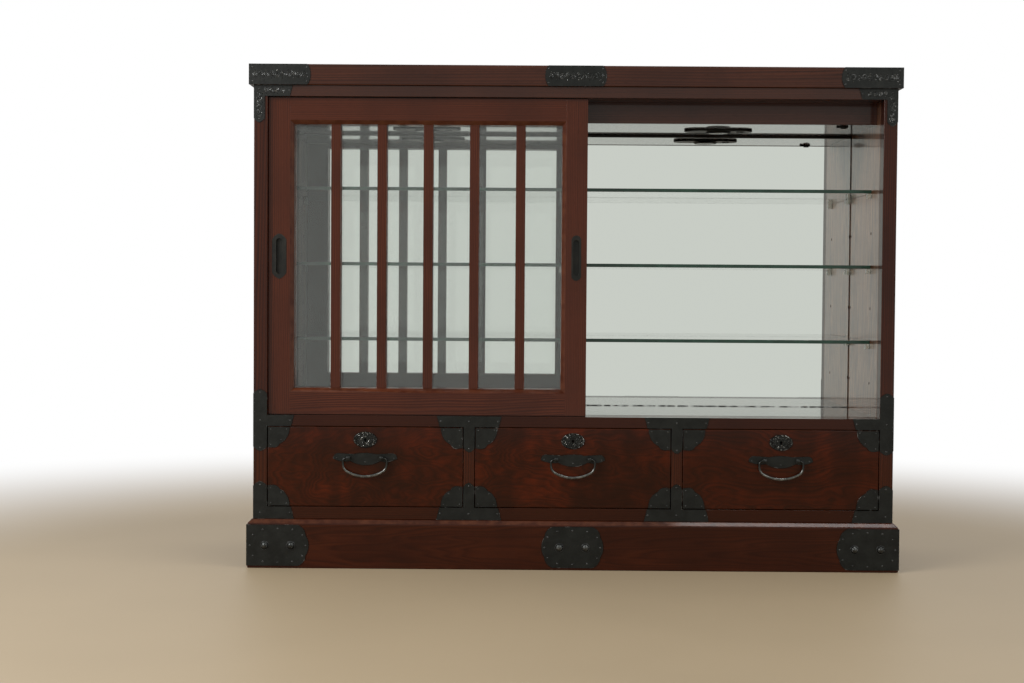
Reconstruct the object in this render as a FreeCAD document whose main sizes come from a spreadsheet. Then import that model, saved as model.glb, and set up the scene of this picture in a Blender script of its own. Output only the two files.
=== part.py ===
import FreeCAD
import Part
import Sketcher
import math
import os

doc = FreeCAD.newDocument("display_cabinet")
sheet = doc.addObject("Spreadsheet::Sheet", "Sizes")
aliases = []
nodes = []


class Size:
    # A length known both as an expression on the sheet and as a number.
    def __init__(self, text, value):
        self.text = text
        self.value = value

    def __add__(self, other):
        other = as_size(other)
        return Size(f"({self.text} + {other.text})", self.value + other.value)

    def __sub__(self, other):
        other = as_size(other)
        return Size(f"({self.text} - {other.text})", self.value - other.value)

    def __mul__(self, other):
        other = as_size(other)
        return Size(f"({self.text} * {other.text})", self.value * other.value)

    def __truediv__(self, other):
        other = as_size(other)
        return Size(f"({self.text} / {other.text})", self.value / other.value)

    def __neg__(self):
        return Size(f"(0 - {self.text})", -self.value)


def as_size(length):
    return length if isinstance(length, Size) else Size(f"({length})", length)


def size(alias, millimetres):
    # Puts one driving dimension on the sheet.
    aliases.append(alias)
    cell = f"A{len(aliases)}"
    sheet.set(cell, str(millimetres))
    sheet.setAlias(cell, alias)
    return Size(f"Sizes.{alias}", millimetres)


# Driving dimensions of the case, in millimetres
case_width = size("case_width", 1472)
case_depth = size("case_depth", 396)
post_width = size("post_width", 31.5)
post_depth = size("post_depth", 40)
plinth_height = size("plinth_height", 113)
plinth_overhang = size("plinth_overhang", 12.5)
plinth_bevel = size("plinth_bevel", 10)
plinth_board = size("plinth_board", 25)
bottom_rail_height = size("bottom_rail_height", 28)
bottom_rail_depth = size("bottom_rail_depth", 25)
drawer_space_height = size("drawer_space_height", 186.5)
sill_thickness = size("sill_thickness", 25)
door_space_height = size("door_space_height", 731)
head_thickness = size("head_thickness", 25.5)
top_thickness = size("top_thickness", 47)
top_side_overhang = size("top_side_overhang", 9)
top_front_overhang = size("top_front_overhang", 7)
case_bottom_thickness = size("case_bottom_thickness", 15)
divider_width = size("divider_width", 25)
back_thickness = size("back_thickness", 6)
mirror_thickness = size("mirror_thickness", 4)
mirror_margin = size("mirror_margin", 2)
bead_height = size("bead_height", 6.2)
bead_depth = size("bead_depth", 5)
fascia_thickness = size("fascia_thickness", 12)
fascia_drop = size("fascia_drop", 50.5)
fascia_lip = size("fascia_lip", 0.8)
ceiling_thickness = size("ceiling_thickness", 12)
partition_width = size("partition_width", 28)

# Glass shelves and the pegs that carry them
shelf_thickness = size("shelf_thickness", 8)
shelf_setback = size("shelf_setback", 118)
shelf_margin = size("shelf_margin", 2)
lower_shelf_height = size("lower_shelf_height", 177)
middle_shelf_height = size("middle_shelf_height", 354.3)
upper_shelf_height = size("upper_shelf_height", 531.8)
spare_hole_drop = size("spare_hole_drop", 88)
peg_inset = size("peg_inset", 11)
peg_length = size("peg_length", 11)
peg_width = size("peg_width", 12)
peg_height = size("peg_height", 12)
peg_pin_radius = size("peg_pin_radius", 3.8)
peg_pin_length = size("peg_pin_length", 9)
peg_pin_room = size("peg_pin_room", 0.1)

# Sliding doors and their tracks
door_setback = size("door_setback", 12)
door_thickness = size("door_thickness", 27)
door_spacing = size("door_spacing", 4)
door_rear_room = size("door_rear_room", 6)
door_side_room = size("door_side_room", 1)
door_top_room = size("door_top_room", 2)
door_foot_room = size("door_foot_room", 1.5)
stile_width = size("stile_width", 58)
door_rail_width = size("door_rail_width", 60)
door_bevel = size("door_bevel", 9)
bar_width = size("bar_width", 22)
bar_thickness = size("bar_thickness", 8)
bar_count = 5
glass_thickness = size("glass_thickness", 3)
glass_edge = size("glass_edge", 8)
glass_room = size("glass_room", 0.3)
groove_width = size("groove_width", 11)
tongue_room = size("tongue_room", 0.5)
head_groove_depth = size("head_groove_depth", 16)
top_tongue = size("top_tongue", 10)
sill_groove_depth = size("sill_groove_depth", 5)
slide_room = size("slide_room", 0.3)
pull_height = size("pull_height", 104)
wide_pull_width = size("wide_pull_width", 33)
slim_pull_width = size("slim_pull_width", 22)
pull_cup_width = size("pull_cup_width", 16)
pull_cup_height = size("pull_cup_height", 84)
pull_arch = size("pull_arch", 15)
pull_flange = size("pull_flange", 1)
pull_depth = size("pull_depth", 9)
pull_wall = size("pull_wall", 1)

# Drawers
drawer_room = size("drawer_room", 1.5)
drawer_front_thickness = size("drawer_front_thickness", 20)
drawer_side_thickness = size("drawer_side_thickness", 12)
drawer_side_drop = size("drawer_side_drop", 26.5)
drawer_back_drop = size("drawer_back_drop", 46.5)
drawer_rear_room = size("drawer_rear_room", 35)
drawer_bottom_thickness = size("drawer_bottom_thickness", 6)
drawer_bottom_lift = size("drawer_bottom_lift", 10)
drawer_groove = size("drawer_groove", 6)
stop_width = size("stop_width", 20)
stop_height = size("stop_height", 30)

# Iron fittings on the case, the drawers and the plinth
iron_thickness = size("iron_thickness", 1.5)
top_iron_length = size("top_iron_length", 139)
top_iron_return = size("top_iron_return", 100)
iron_point = size("iron_point", 7)
head_iron_length = size("head_iron_length", 89)
head_iron_width = size("head_iron_width", 24.5)
head_iron_drop = size("head_iron_drop", 86)
rail_iron_reach = size("rail_iron_reach", 62)
sill_iron_rise = size("sill_iron_rise", 59)
stem_length = size("stem_length", 58)
stem_arch = size("stem_arch", 10)
corner_iron_width = size("corner_iron_width", 50)
corner_iron_height = size("corner_iron_height", 47.5)
corner_iron_edge = size("corner_iron_edge", 1)
plinth_iron_width = size("plinth_iron_width", 142)
plinth_iron_gap = size("plinth_iron_gap", 2.5)
plinth_iron_foot = size("plinth_iron_foot", 6)
plinth_iron_return = size("plinth_iron_return", 90)
plinth_lobe_length = size("plinth_lobe_length", 26)
plinth_lobe_height = size("plinth_lobe_height", 24)
plinth_lobe_notch = size("plinth_lobe_notch", 7)
stud_radius = size("stud_radius", 8.5)
stud_height = size("stud_height", 7)
stud_spacing = size("stud_spacing", 60)

# Drawer handles and locks
plate_width = size("plate_width", 150)
plate_height = size("plate_height", 27)
handle_drop = size("handle_drop", 72.5)
plate_drop = size("plate_drop", 2.6)
handle_spacing = size("handle_spacing", 76)
handle_reach = size("handle_reach", 9)
eye_radius = size("eye_radius", 5)
eye_length = size("eye_length", 8)
shank_radius = size("shank_radius", 3.5)
pin_radius = size("pin_radius", 2.2)
pin_room = size("pin_room", 0.3)
pin_end = size("pin_end", 1.5)
bail_radius = size("bail_radius", 3)
bail_shoulder = size("bail_shoulder", 8)
bail_fall = size("bail_fall", 6)
bail_knee = size("bail_knee", 20)
bail_drop = size("bail_drop", 42)
escutcheon_width = size("escutcheon_width", 53)
escutcheon_height = size("escutcheon_height", 36)
escutcheon_thickness = size("escutcheon_thickness", 2.5)
escutcheon_drop = size("escutcheon_drop", 30.5)
keyhole_radius = size("keyhole_radius", 3.4)
keyhole_slot = size("keyhole_slot", 9)
keyhole_slot_width = size("keyhole_slot_width", 2.4)
lock_width = size("lock_width", 44)
lock_height = size("lock_height", 34)
lock_depth = size("lock_depth", 12)

# Ceiling lamps
lamp_length = size("lamp_length", 164)
lamp_width = size("lamp_width", 64)
lamp_thickness = size("lamp_thickness", 4.3)
lamp_depth = size("lamp_depth", 240)
lamp_inward = size("lamp_inward", 6)
lamp_head_radius = size("lamp_head_radius", 31.5)
lamp_head_taper = size("lamp_head_taper", 2)
lamp_head_height = size("lamp_head_height", 3.5)
button_radius = size("button_radius", 9)
button_offset = size("button_offset", 53)
button_proud = size("button_proud", 2)
button_sunk = size("button_sunk", 1.2)
button_travel = size("button_travel", 2)
button_room = size("button_room", 0.3)
clip_radius = size("clip_radius", 7)
clip_height = size("clip_height", 6)
clip_length = size("clip_length", 27)
clip_width = size("clip_width", 9)
clip_bar_height = size("clip_bar_height", 4)
clip_boss_offset = size("clip_boss_offset", 3.5)
clip_inset = size("clip_inset", 73)
clip_depth = size("clip_depth", 120)

# How far an arc bulges, as a share of the width or height it spans
arch_roundness = 0.9
pull_roundness = 0.75
strap_roundness = 0.8
lobe_roundness = 1
strap_tip = 0.55

# Places worked out from the driving dimensions
zero = as_size(0)
half_width = case_width / 2
half_space = half_width - post_width
front_reach = plinth_overhang + iron_thickness + stud_height
front = (front_reach - case_depth) / 2
back = front + case_depth
bottom_rail_top = plinth_height + bottom_rail_height
drawer_space_top = bottom_rail_top + drawer_space_height
sill_top = drawer_space_top + sill_thickness
head_bottom = sill_top + door_space_height
head_top = head_bottom + head_thickness
cabinet_top = head_top + top_thickness
fascia_bottom = head_bottom - fascia_drop
ceiling_bottom = fascia_bottom + fascia_lip
front_door_face = front + door_setback
rear_door_face = front_door_face + door_thickness + door_spacing
fascia_front = rear_door_face + door_thickness + door_rear_room
fascia_back = fascia_front + fascia_thickness
back_panel_front = back - back_thickness
mirror_front = back_panel_front - mirror_thickness
half_partition = partition_width / 2
bay_centre = (half_space + half_partition) / 2
drawer_space = (half_space * 2 - divider_width * 2) / 3
divider_centre = (drawer_space + divider_width) / 2
drawer_spacing = drawer_space + divider_width
drawer_width = drawer_space - drawer_room * 2
drawer_base = bottom_rail_top + slide_room
drawer_back = back_panel_front - drawer_rear_room
drawer_front_back = front + drawer_front_thickness
drawer_front_level = (bottom_rail_top + drawer_room, drawer_space_top - drawer_room)
handle_y = front - iron_thickness - handle_reach
door_width = (half_space * 2 - door_side_room * 2 + stile_width) / 2
door_bottom = sill_top + door_foot_room
door_top = head_bottom - door_top_room
upper_tongue = (door_top, head_bottom + top_tongue)
lower_tongue = (sill_top - sill_groove_depth + slide_room, door_bottom)


def place(solid, x, y, z):
    for axis, where in (("x", x), ("y", y), ("z", z)):
        solid.setExpression(f"Placement.Base.{axis}", where.text)


def block(name, x, y, z):
    # A board between two ends along each axis.
    solid = doc.addObject("Part::Box", name)
    for side, span in (("Length", x), ("Width", y), ("Height", z)):
        solid.setExpression(side, (span[1] - span[0]).text)
    place(solid, x[0], y[0], z[0])
    return solid


def rod(name, direction, radius, length, x, y, z):
    # A round bar that starts at a point and runs along +X, +Y or +Z.
    turns = {"x": FreeCAD.Rotation(FreeCAD.Vector(0, 1, 0), 90),
             "y": FreeCAD.Rotation(FreeCAD.Vector(1, 0, 0), -90),
             "z": FreeCAD.Rotation()}
    solid = doc.addObject("Part::Cylinder", name)
    solid.Placement = FreeCAD.Placement(FreeCAD.Vector(), turns[direction])
    solid.setExpression("Radius", radius.text)
    solid.setExpression("Height", length.text)
    place(solid, x, y, z)
    return solid


def cut(name, base, tool):
    solid = doc.addObject("Part::Cut", name)
    solid.Base = base
    solid.Tool = tool
    return solid


def fuse(name, pieces):
    solid = doc.addObject("Part::MultiFuse", name)
    solid.Shapes = pieces
    solid.Refine = True
    return solid


def group(name, pieces):
    solid = doc.addObject("Part::Compound", name)
    solid.Links = pieces
    return solid


def node(piece, label):
    piece.Label = label
    nodes.append(piece)
    return piece


def around(centre, length):
    return centre - length / 2, centre + length / 2


def obround(name, x, y, z, width, height):
    # A slot shape with round ends, long along Z, between two depths.
    radius = width / 2
    reach = height / 2 - radius
    length = y[1] - y[0]
    middle = block(f"{name}_middle", around(x, width), y, (z - reach, z + reach))
    upper = rod(f"{name}_upper", "y", radius, length, x, y[0], z + reach)
    lower = rod(f"{name}_lower", "y", radius, length, x, y[0], z - reach)
    return fuse(name, [middle, upper, lower])


def arc_between(start, end, radius, centre_on_left):
    # The short arc between two points, drawn counter-clockwise.
    across = end - start
    rise = math.sqrt(radius ** 2 - (across.Length / 2) ** 2)
    left = FreeCAD.Vector(-across.y, across.x, 0).normalize()
    centre = (start + end) / 2 + left * (rise if centre_on_left else -rise)
    first, last = (start, end) if centre_on_left else (end, start)
    angles = [math.atan2(point.y - centre.y, point.x - centre.x) for point in (first, last)]
    if angles[1] < angles[0]:
        angles[1] += 2 * math.pi
    return Part.ArcOfCircle(Part.Circle(centre, FreeCAD.Vector(0, 0, 1), radius), *angles)


def sketch_on(body, role, name):
    sketch = body.newObject("Sketcher::SketchObject", name)
    plane = [feature for feature in body.Origin.OriginFeatures if feature.Role == role][0]
    sketch.AttachmentSupport = [(plane, "")]
    sketch.MapMode = "FlatFace"
    return sketch


def pin_point(sketch, edge, end, point):
    # Ties both coordinates of one end of an edge to the sheet.
    for kind, axis, length in (("DistanceX", -2, point[0]), ("DistanceY", -1, point[1])):
        if length is zero:
            sketch.addConstraint(Sketcher.Constraint("PointOnObject", edge, end, axis))
        else:
            number = sketch.addConstraint(Sketcher.Constraint(kind, edge, end, length.value))
            sketch.setExpression(f"Constraints[{number}]", length.text)


def draw(sketch, points, arcs, closed=True):
    # Lines through the points, with outward arcs where a radius is given, all tied to the sheet.
    places = [FreeCAD.Vector(u.value, v.value, 0) for u, v in points]
    following = places[1:] + places[:1]
    area = sum(here.x * there.y - there.x * here.y for here, there in zip(places, following))
    turns_left = area > 0
    ends = []
    for i in range(len(points) if closed else len(points) - 1):
        if i in arcs:
            arc = arc_between(places[i], following[i], arcs[i].value, turns_left)
            edge = sketch.addGeometry(arc)
            number = sketch.addConstraint(Sketcher.Constraint("Radius", edge, arcs[i].value))
            sketch.setExpression(f"Constraints[{number}]", arcs[i].text)
            ends.append((edge, 1, 2) if turns_left else (edge, 2, 1))
        else:
            edge = sketch.addGeometry(Part.LineSegment(places[i], following[i]))
            ends.append((edge, 1, 2))
    for i, (edge, first, last) in enumerate(ends):
        if closed or i + 1 < len(ends):
            next_edge, next_first, next_last = ends[(i + 1) % len(ends)]
            sketch.addConstraint(Sketcher.Constraint("Coincident", edge, last, next_edge, next_first))
        pin_point(sketch, edge, first, points[i])
    if not closed:
        pin_point(sketch, ends[-1][0], ends[-1][2], points[-1])


def plate(name, role, outline, thickness, x, y, z):
    # A flat outline pushed out along the normal of its plane.
    points, arcs = outline
    body = doc.addObject("PartDesign::Body", name)
    sketch = sketch_on(body, role, f"{name}_outline")
    draw(sketch, points, arcs)
    pad = body.newObject("PartDesign::Pad", f"{name}_pad")
    pad.Profile = sketch
    pad.setExpression("Length", thickness.text)
    place(body, x, y, z)
    return body


def mirrored(outline, sign_u, sign_v=1):
    # The same outline on the other side of an axis.
    points, arcs = outline
    return [(signed(u, sign_u), signed(v, sign_v)) for u, v in points], arcs


def signed(length, sign):
    return length if length is zero or sign > 0 else -length


def bevelled_profile(width, flip):
    # Section of a frame member: the front inner edge is bevelled.
    points = [(zero, zero), (width - door_bevel, zero), (width, door_bevel), (width, door_thickness),
              (zero, door_thickness)]
    return mirrored((points, {}), flip)


def lobed_outline(width, height, lobed_left, lobed_right):
    # A plate whose ends are three lobes, with two cusps where the lobes meet.
    low, high = plinth_lobe_height, height - plinth_lobe_height
    notch = plinth_lobe_notch
    corner_lobe = plinth_lobe_length * lobe_roundness
    half_lobe = (high - low) / 2
    end_lobe = (half_lobe * half_lobe + notch * notch) / (notch * 2)
    right = [(width - plinth_lobe_length, zero), (width - notch, low), (width - notch, high),
             (width - plinth_lobe_length, height)]
    left = [(plinth_lobe_length, height), (notch, high), (notch, low), (plinth_lobe_length, zero)]
    points = []
    arcs = {}
    for lobed, end, plain in ((lobed_right, right, [(width, zero), (width, height)]),
                              (lobed_left, left, [(zero, height), (zero, zero)])):
        if lobed:
            first = len(points)
            arcs.update({first: corner_lobe, first + 1: end_lobe, first + 2: corner_lobe})
        points += end if lobed else plain
    return points, arcs


def pointed_outline(length, height, left_point, right_point):
    # A strap whose ends come to a rounded point a little above the middle.
    tip_level = height * strap_tip
    roundness = height * strap_roundness
    points = []
    arcs = {}
    points.append((iron_point, zero) if left_point else (zero, zero))
    if right_point:
        arcs[1] = roundness
        arcs[2] = roundness
        points += [(length - iron_point, zero), (length, tip_level), (length - iron_point, height)]
    else:
        points += [(length, zero), (length, height)]
    if left_point:
        arcs[len(points)] = roundness
        arcs[len(points) + 1] = roundness
        points += [(iron_point, height), (zero, tip_level)]
    else:
        points.append((zero, height))
    return points, arcs


def wrapped_iron(name, sign, outer, face, foot, outlines, length, thickness):
    # One iron bent round a front corner: a face leaf and a return on the side.
    wall = outer if sign > 0 else -outer - thickness
    edge = outer - length if sign > 0 else -outer - thickness
    leaf = plate(f"{name}_leaf", "XZ_Plane", outlines[0], thickness, edge, face, foot)
    wing = plate(f"{name}_wing", "YZ_Plane", outlines[1], thickness, wall, face, foot)
    return fuse(name, [leaf, wing])


def edged_board(name, x, y, edges):
    # A plinth board whose outer top edges are bevelled.
    body = doc.addObject("PartDesign::Body", name)
    sketch = sketch_on(body, "XY_Plane", f"{name}_outline")
    draw(sketch, [(x[0], y[0]), (x[1], y[0]), (x[1], y[1]), (x[0], y[1])], {})
    pad = body.newObject("PartDesign::Pad", f"{name}_pad")
    pad.Profile = sketch
    pad.setExpression("Length", plinth_height.text)
    doc.recompute()
    chosen = []
    for number, edge in enumerate(pad.Shape.Edges, 1):
        middle = edge.CenterOfMass
        on_top = math.isclose(middle.z, plinth_height.value)
        if on_top and any(math.isclose(getattr(middle, axis), where.value) for axis, where in edges):
            chosen.append(f"Edge{number}")
    bevel = body.newObject("PartDesign::Chamfer", f"{name}_bevel")
    bevel.Base = (pad, chosen)
    bevel.setExpression("Size", plinth_bevel.text)
    return body


def make_plinth():
    outer = half_width + plinth_overhang
    inner = outer - plinth_board
    face = front - plinth_overhang
    board_back = face + plinth_board
    front_edges = [("y", face), ("x", -outer), ("x", outer)]
    node(edged_board("plinth_front_board", (-outer, outer), (face, board_back), front_edges), "plinth_front")
    left = edged_board("plinth_left_board", (-outer, -inner), (board_back, back), [("x", -outer)])
    right = edged_board("plinth_right_board", (inner, outer), (board_back, back), [("x", outer)])
    node(group("plinth_side_boards", [left, right]), "plinth_sides")
    rear = (back - plinth_board, back)
    node(block("plinth_back_board", (-inner, inner), rear, (zero, plinth_height)), "plinth_back")


def make_plinth_irons():
    outer = half_width + plinth_overhang
    face = front - plinth_overhang
    width = plinth_iron_width
    foot = plinth_iron_foot
    height = plinth_height - plinth_bevel - plinth_iron_gap - foot
    whole = lobed_outline(width, height, True, True)
    irons = [plate("plinth_middle_iron", "XZ_Plane", whole, iron_thickness, -width / 2, face, foot)]
    for name, sign in (("plinth_left_iron", -1), ("plinth_right_iron", 1)):
        leaf = lobed_outline(width + iron_thickness, height, sign > 0, sign < 0)
        wing = lobed_outline(plinth_iron_return, height, False, True)
        irons.append(wrapped_iron(name, sign, outer, face, foot, (leaf, wing), width, iron_thickness))
    node(group("plinth_iron_set", irons), "plinth_irons")

    studs = []
    side_centre = outer - width / 2
    for name, centre in (("left", -side_centre), ("middle", zero), ("right", side_centre)):
        for end, sign in (("inner", -1), ("outer", 1)):
            x = centre + stud_spacing * sign / 2
            studs.append(stud(f"plinth_{name}_{end}_stud", x, face - iron_thickness, foot + height / 2))
    node(group("plinth_stud_set", studs), "plinth_studs")


def stud(name, x, y, z):
    # A domed nail head turned about its own axis.
    rounding = (stud_radius * stud_radius + stud_height * stud_height) / (stud_height * 2)
    body = doc.addObject("PartDesign::Body", name)
    sketch = sketch_on(body, "XY_Plane", f"{name}_outline")
    draw(sketch, [(zero, zero), (zero, -stud_height), (stud_radius, zero)], {1: rounding})
    turn = body.newObject("PartDesign::Revolution", f"{name}_turn")
    turn.Profile = sketch
    turn.ReferenceAxis = (sketch, ["V_Axis"])
    place(body, x, y, z)
    return body


def peg_places(with_spares):
    # Depth and height of each peg hole, in a front and a rear column.
    columns = (front + shelf_setback + peg_inset, mirror_front - shelf_margin - peg_inset)
    heights = (lower_shelf_height, middle_shelf_height, upper_shelf_height)
    levels = [sill_top + height - shelf_thickness - peg_height / 2 for height in heights]
    if with_spares:
        levels += [level - spare_hole_drop for level in levels]
    return [(column, level) for level in levels for column in columns]


def drilled(name, board, starts):
    # Drills the peg holes into a wall from each given side.
    holes = []
    for side, x in enumerate(starts):
        for number, (y, z) in enumerate(peg_places(True)):
            radius = peg_pin_radius + peg_pin_room
            holes.append(rod(f"{name}_hole_{side}_{number}", "x", radius, peg_pin_length, x, y, z))
    return cut(name, board, group(f"{name}_holes", holes))


def make_case():
    across = (-half_space, half_space)
    upright = (plinth_height, head_top)
    deep = (front + post_depth, back)
    left_post = block("left_post", (-half_width, -half_space), (front, front + post_depth), upright)
    right_post = block("right_post", (half_space, half_width), (front, front + post_depth), upright)
    node(group("post_pair", [left_post, right_post]), "front_posts")
    left_board = block("left_side_board", (-half_width, -half_space), deep, upright)
    right_board = block("right_side_board", (half_space, half_width), deep, upright)
    node(drilled("left_side_drilled", left_board, [-half_space - peg_pin_length]), "left_side_panel")
    node(drilled("right_side_drilled", right_board, [half_space]), "right_side_panel")
    node(block("back_board", across, (back_panel_front, back), upright), "back_panel")

    top_span = (-half_width - top_side_overhang, half_width + top_side_overhang)
    top_depth = (front - top_front_overhang, back)
    node(block("top_slab", top_span, top_depth, (head_top, cabinet_top)), "top_board")
    rail_level = (plinth_height, bottom_rail_top)
    node(block("lower_rail", across, (front, front + bottom_rail_depth), rail_level), "bottom_rail")
    base_level = (bottom_rail_top - case_bottom_thickness, bottom_rail_top)
    base_depth = (front + bottom_rail_depth, back_panel_front)
    node(block("bottom_board", across, base_depth, base_level), "case_bottom")

    sill_level = (drawer_space_top, sill_top)
    head_level = (head_bottom, head_top)
    sill = block("sill_board", across, (front, fascia_front), sill_level)
    head = block("head_board", across, (front, fascia_front), head_level)
    sill_grooves = []
    head_grooves = []
    for name, face in (("front", front_door_face), ("rear", rear_door_face)):
        lane = around(face + door_thickness / 2, groove_width)
        low = (sill_top - sill_groove_depth, sill_top)
        high = (head_bottom, head_bottom + head_groove_depth)
        sill_grooves.append(block(f"{name}_sill_groove", across, lane, low))
        head_grooves.append(block(f"{name}_head_groove", across, lane, high))
    node(cut("grooved_sill", sill, group("sill_grooves", sill_grooves)), "door_sill")
    node(cut("grooved_head", head, group("head_grooves", head_grooves)), "door_head")

    dividers = []
    for name, centre in (("left", -divider_centre), ("right", divider_centre)):
        level = (bottom_rail_top, drawer_space_top)
        width = around(centre, divider_width)
        dividers.append(block(f"{name}_divider", width, (front, back_panel_front), level))
    node(group("divider_pair", dividers), "drawer_dividers")


def make_display():
    across = (-half_space, half_space)
    fascia_level = (fascia_bottom, head_top)
    node(block("fascia_board", across, (fascia_front, fascia_back), fascia_level), "light_fascia")
    ceiling_level = (ceiling_bottom, ceiling_bottom + ceiling_thickness)
    node(block("ceiling_board", across, (fascia_back, back_panel_front), ceiling_level), "display_ceiling")
    floor_level = (drawer_space_top, sill_top)
    node(block("floor_board", across, (fascia_front, back_panel_front), floor_level), "display_floor")
    room = (sill_top, ceiling_bottom)
    wall = block("partition_board", (-half_partition, half_partition), (fascia_back, back_panel_front), room)
    starts = [-half_partition, half_partition - peg_pin_length]
    node(drilled("partition_drilled", wall, starts), "centre_partition")

    mirrors = []
    beads = []
    shelves = []
    for name, left, right in (("left", -half_space, -half_partition), ("right", half_partition, half_space)):
        glass = (left + mirror_margin, right - mirror_margin)
        mirrors.append(block(f"{name}_mirror", glass, (mirror_front, back_panel_front), room))
        bead_level = (ceiling_bottom - bead_height, ceiling_bottom)
        bead_y = (mirror_front - bead_depth, mirror_front)
        beads.append(block(f"{name}_bead", (left, right), bead_y, bead_level))
        deep = (front + shelf_setback, mirror_front - shelf_margin)
        long = (left + shelf_margin, right - shelf_margin)
        for level, height in (("lower", lower_shelf_height), ("middle", middle_shelf_height),
                              ("upper", upper_shelf_height)):
            top = sill_top + height
            shelves.append(block(f"{name}_{level}_shelf", long, deep, (top - shelf_thickness, top)))
    node(group("mirror_pair", mirrors), "mirrors")
    node(group("bead_pair", beads), "mirror_beads")
    node(group("shelf_set", shelves), "glass_shelves")


def make_pegs():
    pegs = []
    walls = ((-half_space, 1), (-half_partition, -1), (half_partition, 1), (half_space, -1))
    for number, (wall, side) in enumerate(walls):
        for place_number, (y, z) in enumerate(peg_places(False)):
            name = f"peg_{number}_{place_number}"
            reach = (wall, wall + peg_length) if side > 0 else (wall - peg_length, wall)
            seat = block(f"{name}_seat", reach, around(y, peg_width), around(z, peg_height))
            start = wall - peg_pin_length if side > 0 else wall
            pin = rod(f"{name}_pin", "x", peg_pin_radius, peg_pin_length, start, y, z)
            pegs.append(fuse(name, [seat, pin]))
    node(group("peg_set", pegs), "shelf_pegs")


def make_lamps():
    depth = front + lamp_depth
    underside = ceiling_bottom - lamp_thickness
    end_radius = lamp_width / 2
    reach = lamp_length / 2 - end_radius
    housings = []
    heads = []
    lamp_centre = bay_centre - lamp_inward
    for name, centre, bay_end in (("left", -lamp_centre, -half_partition), ("right", lamp_centre, half_space)):
        level = (underside, ceiling_bottom)
        bar = block(f"{name}_lamp_bar", (centre - reach, centre + reach), around(depth, lamp_width), level)
        pieces = [bar]
        for end, x in (("near", centre - reach), ("far", centre + reach)):
            cap = rod(f"{name}_lamp_{end}_end", "z", end_radius, lamp_thickness, x, depth, underside)
            pieces.append(cap)
        base = fuse(f"{name}_lamp_base", pieces)
        button_x = centre + button_offset
        well_depth = button_sunk + button_travel + button_room
        well_radius = button_radius + button_room
        well = rod(f"{name}_button_well", "z", well_radius, well_depth, button_x, depth, underside)
        housings.append(cut(f"{name}_lamp_housing", base, well))
        clip_x = bay_end - clip_inset
        clip_y = front + clip_depth
        clip_z = ceiling_bottom - clip_height
        bar_level = (ceiling_bottom - clip_bar_height, ceiling_bottom)
        clip_bar = block(f"{name}_clip_bar", around(clip_x, clip_length), around(clip_y, clip_width), bar_level)
        boss_x = clip_x + clip_boss_offset
        boss = rod(f"{name}_clip_boss", "z", clip_radius, clip_height, boss_x, clip_y, clip_z)
        housings.append(fuse(f"{name}_cable_clip", [clip_bar, boss]))

        head = doc.addObject("Part::Cone", f"{name}_lamp_head")
        head.setExpression("Radius1", (lamp_head_radius - lamp_head_taper).text)
        head.setExpression("Radius2", lamp_head_radius.text)
        head.setExpression("Height", lamp_head_height.text)
        place(head, centre, depth, underside - lamp_head_height)
        heads.append(head)
        length = button_proud + button_sunk
        button = rod(f"{name}_button", "z", button_radius, length, button_x, depth, underside - button_proud)
        node(button, f"{name}_lamp_button")
    node(group("lamp_housing_set", housings), "lamp_housings")
    node(group("lamp_head_set", heads), "lamp_heads")


def make_top_irons():
    outer = half_width + top_side_overhang
    face = front - top_front_overhang
    length = top_iron_length
    height = top_thickness
    whole = pointed_outline(length, height, True, True)
    irons = [plate("top_middle_iron", "XZ_Plane", whole, iron_thickness, -length / 2, face, head_top)]
    for name, sign in (("top_left_iron", -1), ("top_right_iron", 1)):
        leaf = pointed_outline(length + iron_thickness, height, sign > 0, sign < 0)
        wing = pointed_outline(top_iron_return, height, False, True)
        irons.append(wrapped_iron(name, sign, outer, face, head_top, (leaf, wing), length, iron_thickness))
    node(group("top_iron_set", irons), "top_board_irons")


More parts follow.
